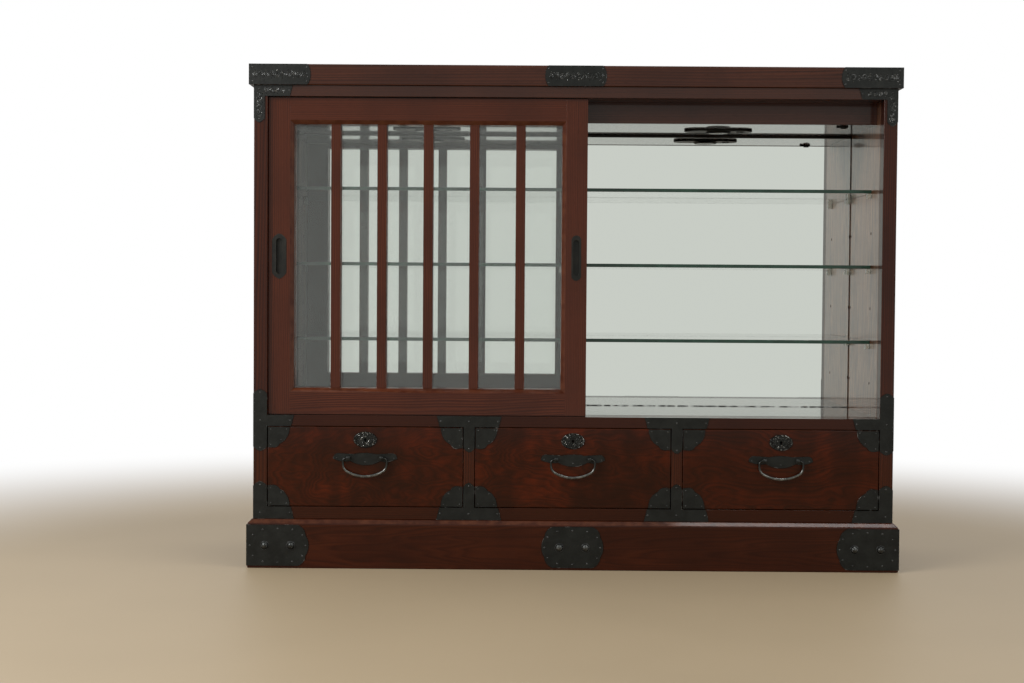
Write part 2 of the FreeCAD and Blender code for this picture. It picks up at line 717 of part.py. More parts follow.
def make_frame_irons():
    # Outlines are drawn for the left side and mirrored for the right; stems end in pointed arches.
    tip = stem_arch
    rail = sill_thickness
    post_arch = post_width * arch_roundness
    divider_arch = divider_width * arch_roundness
    irons = []

    down = -head_iron_drop
    arm = head_iron_width
    head_points = [(zero, zero), (zero, down + tip), (arm / 2, down), (arm, down + tip),
                   (arm, -head_thickness), (head_iron_length - iron_point, -head_thickness),
                   (head_iron_length, zero)]
    head_arch = arm * arch_roundness
    head_outline = (head_points, {1: head_arch, 2: head_arch})

    reach = post_width + rail_iron_reach
    low = -rail - stem_length
    side_points = [(zero, low + tip), (post_width / 2, low), (post_width, low + tip), (post_width, -rail),
                   (reach - iron_point, -rail), (reach, zero), (post_width, zero),
                   (post_width, sill_iron_rise - tip), (post_width / 2, sill_iron_rise),
                   (zero, sill_iron_rise - tip)]
    side_arcs = {0: post_arch, 1: post_arch, 7: post_arch, 8: post_arch}

    lift = bottom_rail_height + stem_length
    foot_points = [(zero, zero), (reach, zero), (reach - iron_point, bottom_rail_height),
                   (post_width, bottom_rail_height), (post_width, lift - tip), (post_width / 2, lift),
                   (zero, lift - tip)]
    foot_outline = (foot_points, {4: post_arch, 5: post_arch})

    for name, sign in (("left", 1), ("right", -1)):
        x = half_width * -sign
        head = mirrored(head_outline, sign)
        side = mirrored((side_points, side_arcs), sign)
        foot = mirrored(foot_outline, sign)
        irons.append(plate(f"{name}_head_iron", "XZ_Plane", head, iron_thickness, x, front, head_top))
        irons.append(plate(f"{name}_side_iron", "XZ_Plane", side, iron_thickness, x, front, sill_top))
        irons.append(plate(f"{name}_foot_iron", "XZ_Plane", foot, iron_thickness, x, front, plinth_height))

    half_stem = divider_width / 2
    half_bar = half_stem + rail_iron_reach
    stem_arcs = {4: divider_arch, 5: divider_arch}

    def tee_outline(depth, sign):
        end = depth + stem_length
        points = [(-half_bar, zero), (half_bar, zero), (half_bar - iron_point, depth), (half_stem, depth),
                  (half_stem, end - tip), (zero, end), (-half_stem, end - tip), (-half_stem, depth),
                  (-half_bar + iron_point, depth)]
        return mirrored((points, stem_arcs), 1, sign)

    for name, centre in (("left", -divider_centre), ("right", divider_centre)):
        upper = tee_outline(sill_thickness, -1)
        lower = tee_outline(bottom_rail_height, 1)
        for end, outline, z in (("upper", upper, sill_top), ("lower", lower, plinth_height)):
            irons.append(plate(f"{name}_{end}_tee", "XZ_Plane", outline, iron_thickness, centre, front, z))
    node(group("frame_iron_set", irons), "frame_irons")


def make_pull(name, x, face, level, width, pointed):
    # A finger pull let into a stile: a flange on the face and a cup behind it.
    behind = (face, face + pull_depth)
    cup = obround(f"{name}_cup", x, behind, level, pull_cup_width, pull_cup_height)
    hollow = (face - pull_flange, face + pull_depth - pull_wall)
    inside_width = pull_cup_width - pull_wall * 2
    inside = obround(f"{name}_hollow", x, hollow, level, inside_width, pull_cup_height - pull_wall * 2)
    if pointed:
        side = width / 2
        top = pull_height / 2
        points = [(side, -top + pull_arch), (side, top - pull_arch), (zero, top), (-side, top - pull_arch),
                  (-side, -top + pull_arch), (zero, -top)]
        bulge = width * pull_roundness
        arcs = {1: bulge, 2: bulge, 4: bulge, 5: bulge}
        flange = plate(f"{name}_flange", "XZ_Plane", (points, arcs), pull_flange, x, face, level)
    else:
        flange = obround(f"{name}_flange", x, (face - pull_flange, face), level, width, pull_height)
    return cut(name, fuse(f"{name}_shell", [flange, cup]), inside), cup


def make_door(name, face, wide_pull_on_left):
    left = -half_space + door_side_room
    outer = (left, left + door_width)
    inner = (outer[0] + stile_width, outer[1] - stile_width)
    rebate = make_pane(name, face, inner)
    stile_pair = make_stiles(name, face, outer, wide_pull_on_left, rebate)
    make_door_rails(name, face, inner, stile_pair, rebate)
    make_bars(name, face, inner)


def make_pane(name, face, inner):
    # The pane sits in a rebate behind the bars; the rebate's room is handed back for cutting.
    pane_front = face + door_bevel + bar_thickness + glass_room
    pane_x = (inner[0] - glass_edge, inner[1] + glass_edge)
    pane_y = (pane_front, pane_front + glass_thickness)
    pane_z = (door_bottom + door_rail_width - glass_edge, door_top - door_rail_width + glass_edge)
    node(block(f"{name}_pane", pane_x, pane_y, pane_z), f"{name}_glass")
    spread = [(span[0] - glass_room, span[1] + glass_room) for span in (pane_x, pane_y, pane_z)]
    return block(f"{name}_rebate", *spread)


def tongue_lane(face):
    return around(face + door_thickness / 2, groove_width - tongue_room * 2)


def make_stiles(name, face, outer, wide_pull_on_left, rebate):
    height = door_top - door_bottom
    middle = (door_top + door_bottom) / 2
    pulls = []
    stiles = []
    for side, x, flip in (("left", outer[0], 1), ("right", outer[1], -1)):
        wide = (side == "left") == wide_pull_on_left
        pull_x = x + (stile_width - door_bevel) * flip / 2
        width = wide_pull_width if wide else slim_pull_width
        pull, cup = make_pull(f"{name}_{side}_pull", pull_x, face, middle, width, wide)
        pulls.append(pull)
        profile = bevelled_profile(stile_width, flip)
        bar = plate(f"{name}_{side}_stile_bar", "XY_Plane", profile, height, x, face, door_bottom)
        end_x = (x, x + stile_width) if flip > 0 else (x - stile_width, x)
        tongues = [block(f"{name}_{side}_stile_{end}_tongue", end_x, tongue_lane(face), level)
                   for end, level in (("upper", upper_tongue), ("lower", lower_tongue))]
        blank = fuse(f"{name}_{side}_stile_blank", [bar] + tongues)
        stiles.append(cut(f"{name}_{side}_stile", blank, group(f"{name}_{side}_stile_cuts", [rebate, cup])))
    node(group(f"{name}_pull_pair", pulls), f"{name}_pulls")
    return node(group(f"{name}_stile_pair", stiles), f"{name}_stiles")


def make_door_rails(name, face, inner, stile_pair, rebate):
    # The rails' ends are coped over the bevels of the stiles.
    start = inner[0] - door_bevel
    length = inner[1] - inner[0] + door_bevel * 2
    ends = (("top", door_top, -1, upper_tongue), ("bottom", door_bottom, 1, lower_tongue))
    for end, z, flip, level in ends:
        points, arcs = bevelled_profile(door_rail_width, flip)
        section = ([(depth, across) for across, depth in points], arcs)
        bar = plate(f"{name}_{end}_rail_bar", "YZ_Plane", section, length, start, face, z)
        tongue = block(f"{name}_{end}_rail_tongue", inner, tongue_lane(face), level)
        blank = fuse(f"{name}_{end}_rail_blank", [bar, tongue])
        coped = cut(f"{name}_{end}_rail_coped", blank, stile_pair)
        node(cut(f"{name}_{end}_rail_rebated", coped, rebate), f"{name}_{end}_rail")


def make_bars(name, face, inner):
    bars = []
    pitch = (inner[1] - inner[0] + bar_width) / (bar_count + 1)
    bar_y = (face + door_bevel, face + door_bevel + bar_thickness)
    bar_z = (door_bottom + door_rail_width, door_top - door_rail_width)
    for number in range(1, bar_count + 1):
        centre = inner[0] + pitch * number - bar_width / 2
        bars.append(block(f"{name}_bar_{number}", around(centre, bar_width), bar_y, bar_z))
    node(group(f"{name}_bar_set", bars), f"{name}_bars")


def corner_outline():
    # Two lobes with a cusp between them, as shares of the width and height from the drawer corner.
    side_end, tip, cusp, shoulder = (0, 0.97), (0.22, 1), (0.54, 0.80), (0.97, 0.22)
    small_lobe = corner_iron_width * 0.30
    large_lobe = corner_iron_width * 0.72
    points = [(corner_iron_width * u if u else zero, -corner_iron_height * v if v else zero)
              for u, v in ((0, 0), side_end, tip, cusp, shoulder, (1, 0))]
    return points, {2: small_lobe, 3: large_lobe}


def handle_plate_outline():
    # A middle lobe that hangs low between two raised wings, as shares of half the width and height.
    wing = ((0.45, -0.35), (0.98, 0.05), (0.80, 0.95), (0.35, 0.80))
    right = [(plate_width / 2 * u, plate_height / 2 * v) for u, v in wing]
    left = [(-u, v) for u, v in reversed(right)]
    underside = plate_width * 0.40
    tip = plate_width * 0.08
    top = plate_width * 0.80
    middle = plate_width * 0.43
    return right + left, {0: underside, 1: tip, 3: top, 5: tip, 6: underside, 7: middle}


def make_bail(name, x, y, z):
    # A bent bar: shoulder, short fall, knee and low sweep run into each other at a tangent.
    # A thinner pin at each end turns in its eye.
    start = handle_spacing / 2 + eye_length / 2 + pin_room
    shoulder = bail_shoulder
    knee = bail_knee
    out = start + shoulder
    low = -shoulder - bail_fall
    inset = out - knee
    depth = bail_drop + low
    sweep = (inset * inset + depth * depth - knee * knee) / ((depth - knee) * 2)
    along = knee / (sweep - knee)
    join_u = inset + along * inset
    join_v = low - along * (sweep - depth)
    body = doc.addObject("PartDesign::Body", f"{name}_bow")
    path = sketch_on(body, "XZ_Plane", f"{name}_path")
    points = [(-start, zero), (-out, -shoulder), (-out, low), (-join_u, join_v),
              (join_u, join_v), (out, low), (out, -shoulder), (start, zero)]
    draw(path, points, {0: shoulder, 2: knee, 3: sweep, 4: knee, 6: shoulder}, closed=False)
    section = sketch_on(body, "YZ_Plane", f"{name}_section")
    circle = section.addGeometry(Part.Circle(FreeCAD.Vector(), FreeCAD.Vector(0, 0, 1), bail_radius.value))
    section.addConstraint(Sketcher.Constraint("Coincident", circle, 3, -1, 1))
    number = section.addConstraint(Sketcher.Constraint("Radius", circle, bail_radius.value))
    section.setExpression(f"Constraints[{number}]", bail_radius.text)
    section.setExpression("AttachmentOffset.Base.z", (-start).text)
    doc.recompute()
    pipe = body.newObject("PartDesign::AdditivePipe", f"{name}_pipe")
    pipe.Profile = section
    pipe.Spine = (path, [f"Edge{edge}" for edge in range(1, len(points))])
    place(body, x, y, z)
    length = pin_room + eye_length + pin_end
    left_pin = rod(f"{name}_left_pin", "x", pin_radius, length, x - start, y, z)
    right_pin = rod(f"{name}_right_pin", "x", pin_radius, length, x + start - length, y, z)
    return fuse(f"{name}_bar", [body, left_pin, right_pin])


def make_drawer(name, centre):
    width = around(centre, drawer_width)
    lock_level = drawer_space_top - escutcheon_drop
    handle_z = drawer_space_top - handle_drop
    panel = make_drawer_box(name, width)
    keyhole = make_keyhole(name, centre, lock_level)
    make_drawer_front(name, width, panel, keyhole)
    irons = make_corner_irons(name, width)
    irons += make_handle_seat(name, centre, handle_z)
    irons += make_lock(name, centre, lock_level, keyhole)
    node(group(f"{name}_iron_set", irons), f"{name}_irons")
    node(make_bail(f"{name}_handle", centre, handle_y, handle_z), f"{name}_bail")


def make_drawer_box(name, width):
    # Sides, back and bottom; the bottom panel is handed back to groove the front.
    inner = (width[0] + drawer_side_thickness, width[1] - drawer_side_thickness)
    panel_z = (drawer_base + drawer_bottom_lift, drawer_base + drawer_bottom_lift + drawer_bottom_thickness)
    panel_x = (inner[0] - drawer_groove, inner[1] + drawer_groove)
    panel = block(f"{name}_panel", panel_x, (drawer_front_back - drawer_groove, drawer_back), panel_z)
    node(panel, f"{name}_bottom")
    side_y = (drawer_front_back, drawer_back)
    side_z = (drawer_base, drawer_space_top - drawer_side_drop)
    sides = [cut(f"{name}_{side}_side", block(f"{name}_{side}_board", span, side_y, side_z), panel)
             for side, span in (("left", (width[0], inner[0])), ("right", (inner[1], width[1])))]
    node(group(f"{name}_side_pair", sides), f"{name}_sides")
    back_y = (drawer_back - drawer_side_thickness, drawer_back)
    back_z = (panel_z[1], drawer_space_top - drawer_back_drop)
    node(block(f"{name}_back_board", inner, back_y, back_z), f"{name}_back")
    return panel


def make_keyhole(name, centre, level):
    # A round hole with a slot below it, right through the front and its plate.
    start = front - escutcheon_thickness * 2
    depth = drawer_front_back - start
    round_hole = rod(f"{name}_key_round", "y", keyhole_radius, depth, centre, start, level)
    slot_z = (level - keyhole_slot, level)
    slot_x = around(centre, keyhole_slot_width)
    slot = block(f"{name}_key_slot", slot_x, (start, drawer_front_back), slot_z)
    return fuse(f"{name}_keyhole", [round_hole, slot])


def make_drawer_front(name, width, panel, keyhole):
    board = block(f"{name}_front_board", width, (front, drawer_front_back), drawer_front_level)
    grooved = cut(f"{name}_front_grooved", board, panel)
    node(cut(f"{name}_front_bored", grooved, keyhole), f"{name}_front")


def make_corner_irons(name, width):
    irons = []
    edge = corner_iron_edge
    low, high = drawer_front_level
    for side, x, flip in (("left", width[0] + edge, 1), ("right", width[1] - edge, -1)):
        for end, z, turn in (("upper", high - edge, 1), ("lower", low + edge, -1)):
            outline = mirrored(corner_outline(), flip, turn)
            corner = plate(f"{name}_{side}_{end}_iron", "XZ_Plane", outline, iron_thickness, x, front, z)
            irons.append(corner)
    return irons


def make_handle_seat(name, centre, level):
    # The plate behind a handle and the two eyes that carry it.
    seat = plate(f"{name}_plate", "XZ_Plane", handle_plate_outline(), iron_thickness,
                 centre, front, level - plate_drop)
    irons = [seat]
    for side, sign in (("left", -1), ("right", 1)):
        x = centre + handle_spacing * sign / 2
        start = x - eye_length / 2
        shank = rod(f"{name}_{side}_shank", "y", shank_radius, handle_reach, x, handle_y, level)
        barrel = rod(f"{name}_{side}_barrel", "x", eye_radius, eye_length, start, handle_y, level)
        bore = rod(f"{name}_{side}_bore", "x", pin_radius + pin_room, eye_length, start, handle_y, level)
        irons.append(cut(f"{name}_{side}_eye", fuse(f"{name}_{side}_eye_blank", [shank, barrel]), bore))
    return irons


def make_lock(name, centre, level, keyhole):
    # The oval keyhole plate on the face and the lock case behind the front.
    oval = doc.addObject("Part::Ellipse", f"{name}_escutcheon_rim")
    oval.Placement = FreeCAD.Placement(FreeCAD.Vector(), FreeCAD.Rotation(FreeCAD.Vector(1, 0, 0), 90))
    oval.setExpression("MajorRadius", (escutcheon_width / 2).text)
    oval.setExpression("MinorRadius", (escutcheon_height / 2).text)
    place(oval, centre, front, level)
    rim = doc.addObject("Part::Extrusion", f"{name}_escutcheon_blank")
    rim.Base = oval
    rim.DirMode = "Custom"
    rim.Dir = FreeCAD.Vector(0, -1, 0)
    rim.setExpression("LengthFwd", escutcheon_thickness.text)
    rim.Solid = True
    lock_y = (drawer_front_back, drawer_front_back + lock_depth)
    case = block(f"{name}_lock", around(centre, lock_width), lock_y, around(level, lock_height))
    return [cut(f"{name}_escutcheon", rim, keyhole), case]


def make_drawer_stops():
    stops = []
    gap = (drawer_back + slide_room, back_panel_front)
    level = (bottom_rail_top, bottom_rail_top + stop_height)
    for name, centre in (("left", -drawer_spacing), ("middle", zero), ("right", drawer_spacing)):
        for side, sign in (("left", -1), ("right", 1)):
            x = centre + (drawer_width / 2 - stop_width) * sign
            stops.append(block(f"{name}_{side}_stop", around(x, stop_width), gap, level))
    node(group("stop_set", stops), "drawer_stops")


def write_parts():
    doc.recompute()
    for piece in doc.Objects:
        if "Invalid" in piece.State or "Error" in piece.State:
            raise RuntimeError(f"{piece.Name} did not build: {piece.State}")
    os.makedirs("parts", exist_ok=True)
    for piece in nodes:
        if piece.Shape.isNull() or not piece.Shape.isValid() or not piece.Shape.Solids:
            raise RuntimeError(f"{piece.Label} has no valid solid")
        piece.Shape.exportStep(f"parts/{piece.Label}.step")
    print(len(nodes), "nodes written")


make_plinth()
make_plinth_irons()
make_case()
make_display()
make_pegs()
make_lamps()
make_top_irons()
make_frame_irons()
make_door("front_door", front_door_face, True)
make_door("rear_door", rear_door_face, False)
make_drawer("left_drawer", -drawer_spacing)
make_drawer("middle_drawer", zero)
make_drawer("right_drawer", drawer_spacing)
make_drawer_stops()
write_parts()
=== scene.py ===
import bpy
import bmesh
import math
from mathutils import Matrix, Vector


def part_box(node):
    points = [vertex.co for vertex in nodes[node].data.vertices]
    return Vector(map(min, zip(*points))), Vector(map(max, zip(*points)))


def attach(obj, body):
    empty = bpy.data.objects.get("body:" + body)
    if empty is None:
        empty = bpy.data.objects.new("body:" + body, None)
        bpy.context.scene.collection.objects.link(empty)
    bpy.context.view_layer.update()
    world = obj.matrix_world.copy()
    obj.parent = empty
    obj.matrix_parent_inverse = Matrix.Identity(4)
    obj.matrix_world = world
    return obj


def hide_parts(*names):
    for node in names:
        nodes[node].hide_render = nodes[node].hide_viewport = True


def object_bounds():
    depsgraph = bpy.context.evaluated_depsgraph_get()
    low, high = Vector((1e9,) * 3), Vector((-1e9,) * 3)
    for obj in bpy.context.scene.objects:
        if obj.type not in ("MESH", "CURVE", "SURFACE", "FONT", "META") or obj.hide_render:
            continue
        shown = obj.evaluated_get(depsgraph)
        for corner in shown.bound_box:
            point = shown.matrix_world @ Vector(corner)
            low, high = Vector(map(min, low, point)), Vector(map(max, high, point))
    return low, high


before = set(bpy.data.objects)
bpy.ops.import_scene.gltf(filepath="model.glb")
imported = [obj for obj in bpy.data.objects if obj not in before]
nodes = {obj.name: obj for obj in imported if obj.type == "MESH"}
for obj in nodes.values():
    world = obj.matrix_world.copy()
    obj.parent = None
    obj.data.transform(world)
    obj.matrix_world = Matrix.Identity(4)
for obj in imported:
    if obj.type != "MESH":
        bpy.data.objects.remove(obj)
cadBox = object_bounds()
scene = bpy.context.scene
scene.view_settings.view_transform = "Standard"
mm = 0.001
weldGap = 0.00001
flatAngle, creaseAngle, sharpAngle = [math.radians(angle) for angle in (0.4, 38, 40)]
doors = ("front_door", "rear_door")
drawerCentres = {"left": -478.0, "middle": 0.0, "right": 478.0}
print("frame:", len(nodes), "nodes")


# one socket of a node tree; sums written on it add their own Math nodes
class Wire:
    def __init__(self, tree, socket=None):
        self.tree = tree
        self.socket = socket

    def node(self, kind, settings=None, inputs=None, out=0):
        made = self.tree.nodes.new(kind)
        for key, value in (settings or {}).items():
            if key == "stops":
                ramp = made.color_ramp
                ramp.elements.remove(ramp.elements[1])
                ramp.elements[0].position, ramp.elements[0].color = value[0][0], (*value[0][1], 1)
                for spot, tone in value[1:]:
                    ramp.elements.new(spot).color = (*tone, 1)
            else:
                setattr(made, key, value)
        for key, value in (inputs or {}).items():
            if isinstance(value, Wire):
                self.tree.links.new(value.socket, made.inputs[key])
            else:
                made.inputs[key].default_value = value
        return Wire(self.tree, made.outputs[out] if made.outputs else None)

    def sum(self, operation, *terms):
        return self.node("ShaderNodeMath", {"operation": operation}, dict(enumerate(terms)))

    def __add__(self, other): return self.sum("ADD", self, other)
    def __sub__(self, other): return self.sum("SUBTRACT", self, other)
    def __rsub__(self, other): return self.sum("SUBTRACT", other, self)
    def __mul__(self, other): return self.sum("MULTIPLY", self, other)
    def __truediv__(self, other): return self.sum("DIVIDE", self, other)
    def __pow__(self, other): return self.sum("POWER", self, other)
    def __abs__(self): return self.sum("ABSOLUTE", self)

    def most(self, other): return self.sum("MAXIMUM", self, other)

    def between(self, low, high):  # 0 below low, 1 above high, smooth from one to the other
        ease = {"interpolation_type": "SMOOTHSTEP"}
        return self.node("ShaderNodeMapRange", ease, {0: self, 1: low, 2: high})

    def split(self):
        made = self.node("ShaderNodeSeparateXYZ", None, {0: self}).socket.node
        return [Wire(self.tree, socket) for socket in made.outputs]

    def joined(self, x, y, z):
        return self.node("ShaderNodeCombineXYZ", None, {0: x, 1: y, 2: z})

    def noise(self, scale, detail, rough=0.5):
        return self.node("ShaderNodeTexNoise", None,
                         {"Vector": self, "Scale": scale, "Detail": detail, "Roughness": rough})

    def blend(self, *tones):  # this wire is the share of the second colour
        first, second = [tone if isinstance(tone, Wire) else (*tone, 1) for tone in tones]
        return self.node("ShaderNodeMix", {"data_type": "RGBA"}, {0: self, 6: first, 7: second}, 2)


def newFinish(name):
    finish = bpy.data.materials.new(name)
    finish.use_nodes = True
    finish.node_tree.nodes.clear()
    wire = Wire(finish.node_tree)
    return finish, wire, wire.node("ShaderNodeTexCoord", out="Object")


def surface(wire, inputs):
    skin = wire.node("ShaderNodeBsdfPrincipled", None, inputs)
    wire.node("ShaderNodeOutputMaterial", None, {"Surface": skin})


def bumped(wire, height, strength, depth):
    return wire.node("ShaderNodeBump", None, {"Strength": strength, "Distance": depth, "Height": height})


def normalParts(wire):
    return wire.node("ShaderNodeTexCoord", out="Normal").split()


def edgeShare(wire, reach):  # 0 on the flats, rising where an edge is rounded over
    x, y, z = normalParts(wire)
    flat = abs(x).most(abs(y)).most(abs(z))
    return ((1 - flat) * reach).between(0, 1)


# dark red-brown lacquered wood; sizes in millimetres
lacquer = {
    "light": (0.056, 0.0115, 0.0034), "mid": (0.037, 0.0072, 0.0022), "dark": (0.017, 0.0036, 0.0014),
    "edge": (0.115, 0.036, 0.015),
    "ringGap": 3.4, "pith": (70, -260), "tilt": 0.02, "wander": 12, "drawn": 1.6, "close": 9,
    "figure": 1.0, "swing": 0.15, "detail": 3.0, "glow": 0, "shade": 0, "lining": None, "marks": None,
    "rough": 0.36, "spec": 0.05, "coat": 0.30, "coatUp": 0, "dullUnder": False, "coatRough": 0.08,
    "edgeReach": 2.6,
}
# noises of the grain: stretch along, into and across a board, where each comes in, and how much it shows
grain = {
    "sway": 2.3, "uneven": (0.9, 75, 75), "even": (0.38, 0.62), "flame": (19, 19, 27), "flames": (0.46, 0.72),
    "bar": (13, 3, 3), "bars": (0.44, 0.64), "fibre": (55, 950, 950), "pores": (0.54, 0.70),
    "cloud": 5.0, "clouds": (0.42, 0.70), "wear": 45, "worn": (0.25, 0.75),
    "ringSway": 0.6, "ringUneven": 1.9, "wideGap": 1.3, "wideDrift": 14,
    "ringStops": (0.0, 0.22, 0.58, 0.84, 1.0), "inward": (0.2, 0.6), "upward": (0.5, 0.9),
    "under": (0.1, 0.5), "mark": (0.010, 0.0085, 0.007), "evenShare": 0.45, "cloudShare": 0.45,
    "poreShare": 0.5, "wornShare": 0.75, "relief": (0.22, 0.00025),
}


def woodFinish(name, along, own):
    look = {**lacquer, **own}
    finish, wire, place = newFinish(name)
    x, y, z = place.split()
    u, v, w = {"x": (x, y, z), "y": (y, z, x), "z": (z, y, x)}[along]  # along, into and across the board

    def stretched(key, detail, rough=0.5):
        a, b, c = grain[key]
        return wire.joined(u * a, v * b, w * c).noise(1.0, detail, rough)

    slow = wire.joined(u * look["drawn"], v * look["close"], w * look["close"])
    drift = slow.noise(1.0, look["detail"])
    sway = slow.noise(grain["sway"], 2.0)
    wander = look["wander"] * mm
    across = w - look["pith"][1] * mm + (drift - 0.5) * wander
    deep = v - look["pith"][0] * mm + u * look["tilt"] + (sway - 0.5) * wander
    rings = (across * across + deep * deep) ** 0.5 / (look["ringGap"] * mm)
    uneven = stretched("uneven", 1.0)  # no two rings are the same width
    band = rings.sum("FRACT", rings + sway * grain["ringSway"] + uneven * grain["ringUneven"])
    wide = rings.sum("SINE", rings * grain["wideGap"] + drift * grain["wideDrift"]) * 0.5 + 0.5

    def ringTone(light, mid, dark):
        early, late = [[a + (b - a) * look["figure"] for a, b in zip(mid, end)] for end in (light, dark)]
        stops = list(zip(grain["ringStops"], (mid, early, mid, late, mid)))
        return band.node("ShaderNodeValToRGB", {"stops": stops}, {0: band})

    tone = ringTone(look["light"], look["mid"], look["dark"])
    if look["lining"]:  # faces turned to the middle of the cabinet are lighter
        inward = (0 - x * normalParts(wire)[0]).between(*grain["inward"])
        tone = inward.blend(tone, ringTone(*look["lining"]))
    tone = (wide * look["swing"]).blend(tone, look["dark"])
    if not look["lining"]:
        tone = (uneven.between(*grain["even"]) * grain["evenShare"]).blend(tone, look["mid"])
    if look["glow"]:  # red lights in the curl of the grain and dark bands across it
        flame = stretched("flame", 2.0).between(*grain["flames"])
        tone = (flame * (1 - band * 0.45) * look["glow"]).blend(tone, look["ember"])
        bars = stretched("bar", 1.5).between(*grain["bars"])
        tone = (bars * look["shade"]).blend(tone, look["dark"])
    pores = stretched("fibre", 2.0, 0.6).between(*grain["pores"]) * (1 - band * 0.55)
    cloud = place.noise(grain["cloud"], 3.0)
    tone = (cloud.between(*grain["clouds"]) * grain["cloudShare"]).blend(tone, look["dark"])
    tone = (pores * grain["poreShare"]).blend(tone, look["dark"])
    worn = edgeShare(wire, look["edgeReach"]) * place.noise(grain["wear"], 3.0).between(*grain["worn"])
    tone = (worn * grain["wornShare"]).blend(tone, look["edge"])
    if look["marks"]:
        tone = look["marks"](place).blend(tone, grain["mark"])
    coat = look["coat"]
    if look["coatUp"]:  # faces turned up are polished most
        coat = normalParts(wire)[2].between(*grain["upward"]) * (look["coatUp"] - coat) + coat
    if look["dullUnder"]:  # the underside was never polished
        coat = (normalParts(wire)[2] + 1).between(*grain["under"]) * coat
    surface(wire, {
        "Base Color": tone, "Roughness": pores * 0.16 + cloud * 0.10 + (look["rough"] - 0.05),
        "Specular IOR Level": look["spec"], "Coat Weight": (1 - pores * 0.35) * coat if look["coat"] else 0.0,
        "Coat Roughness": look["coatRough"], "Normal": bumped(wire, 1 - pores, *grain["relief"])})
    return finish


pale = {
    "light": (0.60, 0.43, 0.26), "mid": (0.53, 0.36, 0.21), "dark": (0.38, 0.24, 0.13),
    "edge": (0.62, 0.46, 0.29), "rough": 0.58, "spec": 0.4, "coat": 0.0, "ringGap": 4.0, "wander": 6,
}
plain = {
    "light": (0.20, 0.10, 0.05), "mid": (0.15, 0.072, 0.036), "dark": (0.08, 0.036, 0.018),
    "edge": (0.24, 0.13, 0.07), "rough": 0.55, "spec": 0.4, "coat": 0.05, "ringGap": 7.0, "wander": 16,
}


# nail heads round the rim of the back panel, driven flush, and the joints of its boards
backMarks = {
    "inset": 11, "spacing": 88, "head": 2.6, "headCore": 0.8, "joints": (-352, 0, 352), "joint": 0.8,
    "jointCore": 0.5,
}


def backNails(place):
    x, z = place.split()[::2]
    low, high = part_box("back_panel")
    inset, gap, head, wide = [backMarks[key] * mm for key in ("inset", "spacing", "head", "joint")]
    marks = []
    for along, across, ends in ((x, z, (low.z, high.z)), (z, x, (low.x, high.x))):
        step = (along.sum("FRACT", along / gap) - 0.5) * gap
        for edge in (ends[0] + inset, ends[1] - inset):
            off = across - edge
            marks.append(1 - ((step * step + off * off) ** 0.5).between(head * backMarks["headCore"], head))
    for joint in backMarks["joints"]:
        marks.append(1 - abs(x - joint * mm).between(wide * backMarks["jointCore"], wide))
    whole = marks[0]
    for mark in marks[1:]:
        whole = whole.most(mark)
    return whole


# satin black iron, hammered flat, rubbed bare along its edges
iron = {
    "dark": (0.0028, 0.0034, 0.0028), "light": (0.0072, 0.0082, 0.0070), "rust": (0.012, 0.0085, 0.006),
    "bare": (0.10, 0.104, 0.10), "wear": 0.55, "rough": 0.40, "metal": 0.0, "spec": 0.28, "hammer": 0.35,
    "patch": 38, "spread": (0.35, 0.68), "rubbedAndLitBelow": None, "grit": 620, "dents": 150.0, "dentDepth": 0.0007,
    "rustPatch": 95, "rusty": (0.58, 0.74), "rubPatch": 130, "rubbed": (0.38, 0.66), "edgeReach": 2.4,
}


def ironFinish(name, own=None):
    look = {**iron, **(own or {})}
    finish, wire, place = newFinish(name)
    patch = place.noise(look["patch"], 4.0, 0.6)
    grit = place.noise(look["grit"], 3.0, 0.65)
    hammer = place.node("ShaderNodeTexVoronoi", {"feature": "SMOOTH_F1"},
                        {"Vector": place, "Scale": look["dents"], "Smoothness": 0.7})
    bright = patch.between(*look["spread"])
    if look["rubbedAndLitBelow"]:  # brighter below, dull above: rubbed by fingers, and a painted highlight on the lower arc
        bright = (bright * 0.6 + 0.4) * (1 - place.split()[2].between(*look["rubbedAndLitBelow"]))
    tone = bright.blend(look["dark"], look["light"])
    tone = (place.noise(look["rustPatch"], 4.0, 0.7).between(*look["rusty"]) * 0.5).blend(tone, look["rust"])
    rubbed = place.noise(look["rubPatch"], 3.0).between(*look["rubbed"])
    worn = edgeShare(wire, look["edgeReach"]) * rubbed * look["wear"]
    tone = worn.blend(tone, look["bare"])
    surface(wire, {
        "Base Color": tone, "Metallic": worn * 0.5 + look["metal"], "Specular IOR Level": look["spec"],
        "Roughness": grit * 0.22 + patch * 0.12 + (look["rough"] - 0.15) - worn * 0.1,
        "Normal": bumped(wire, hammer * 0.7 + grit * 0.3, look["hammer"], look["dentDepth"])})
    return finish


# clear sheet; its cut edges show the green of thick glass
glass = {
    "film": 7, "filmed": (0.45, 0.8), "streak": 30, "streaked": (0.3, 0.7), "flat": (0.35, 0.8), "deep": 0.6,
    "index": 1.5, "cutRough": 0.18,
}


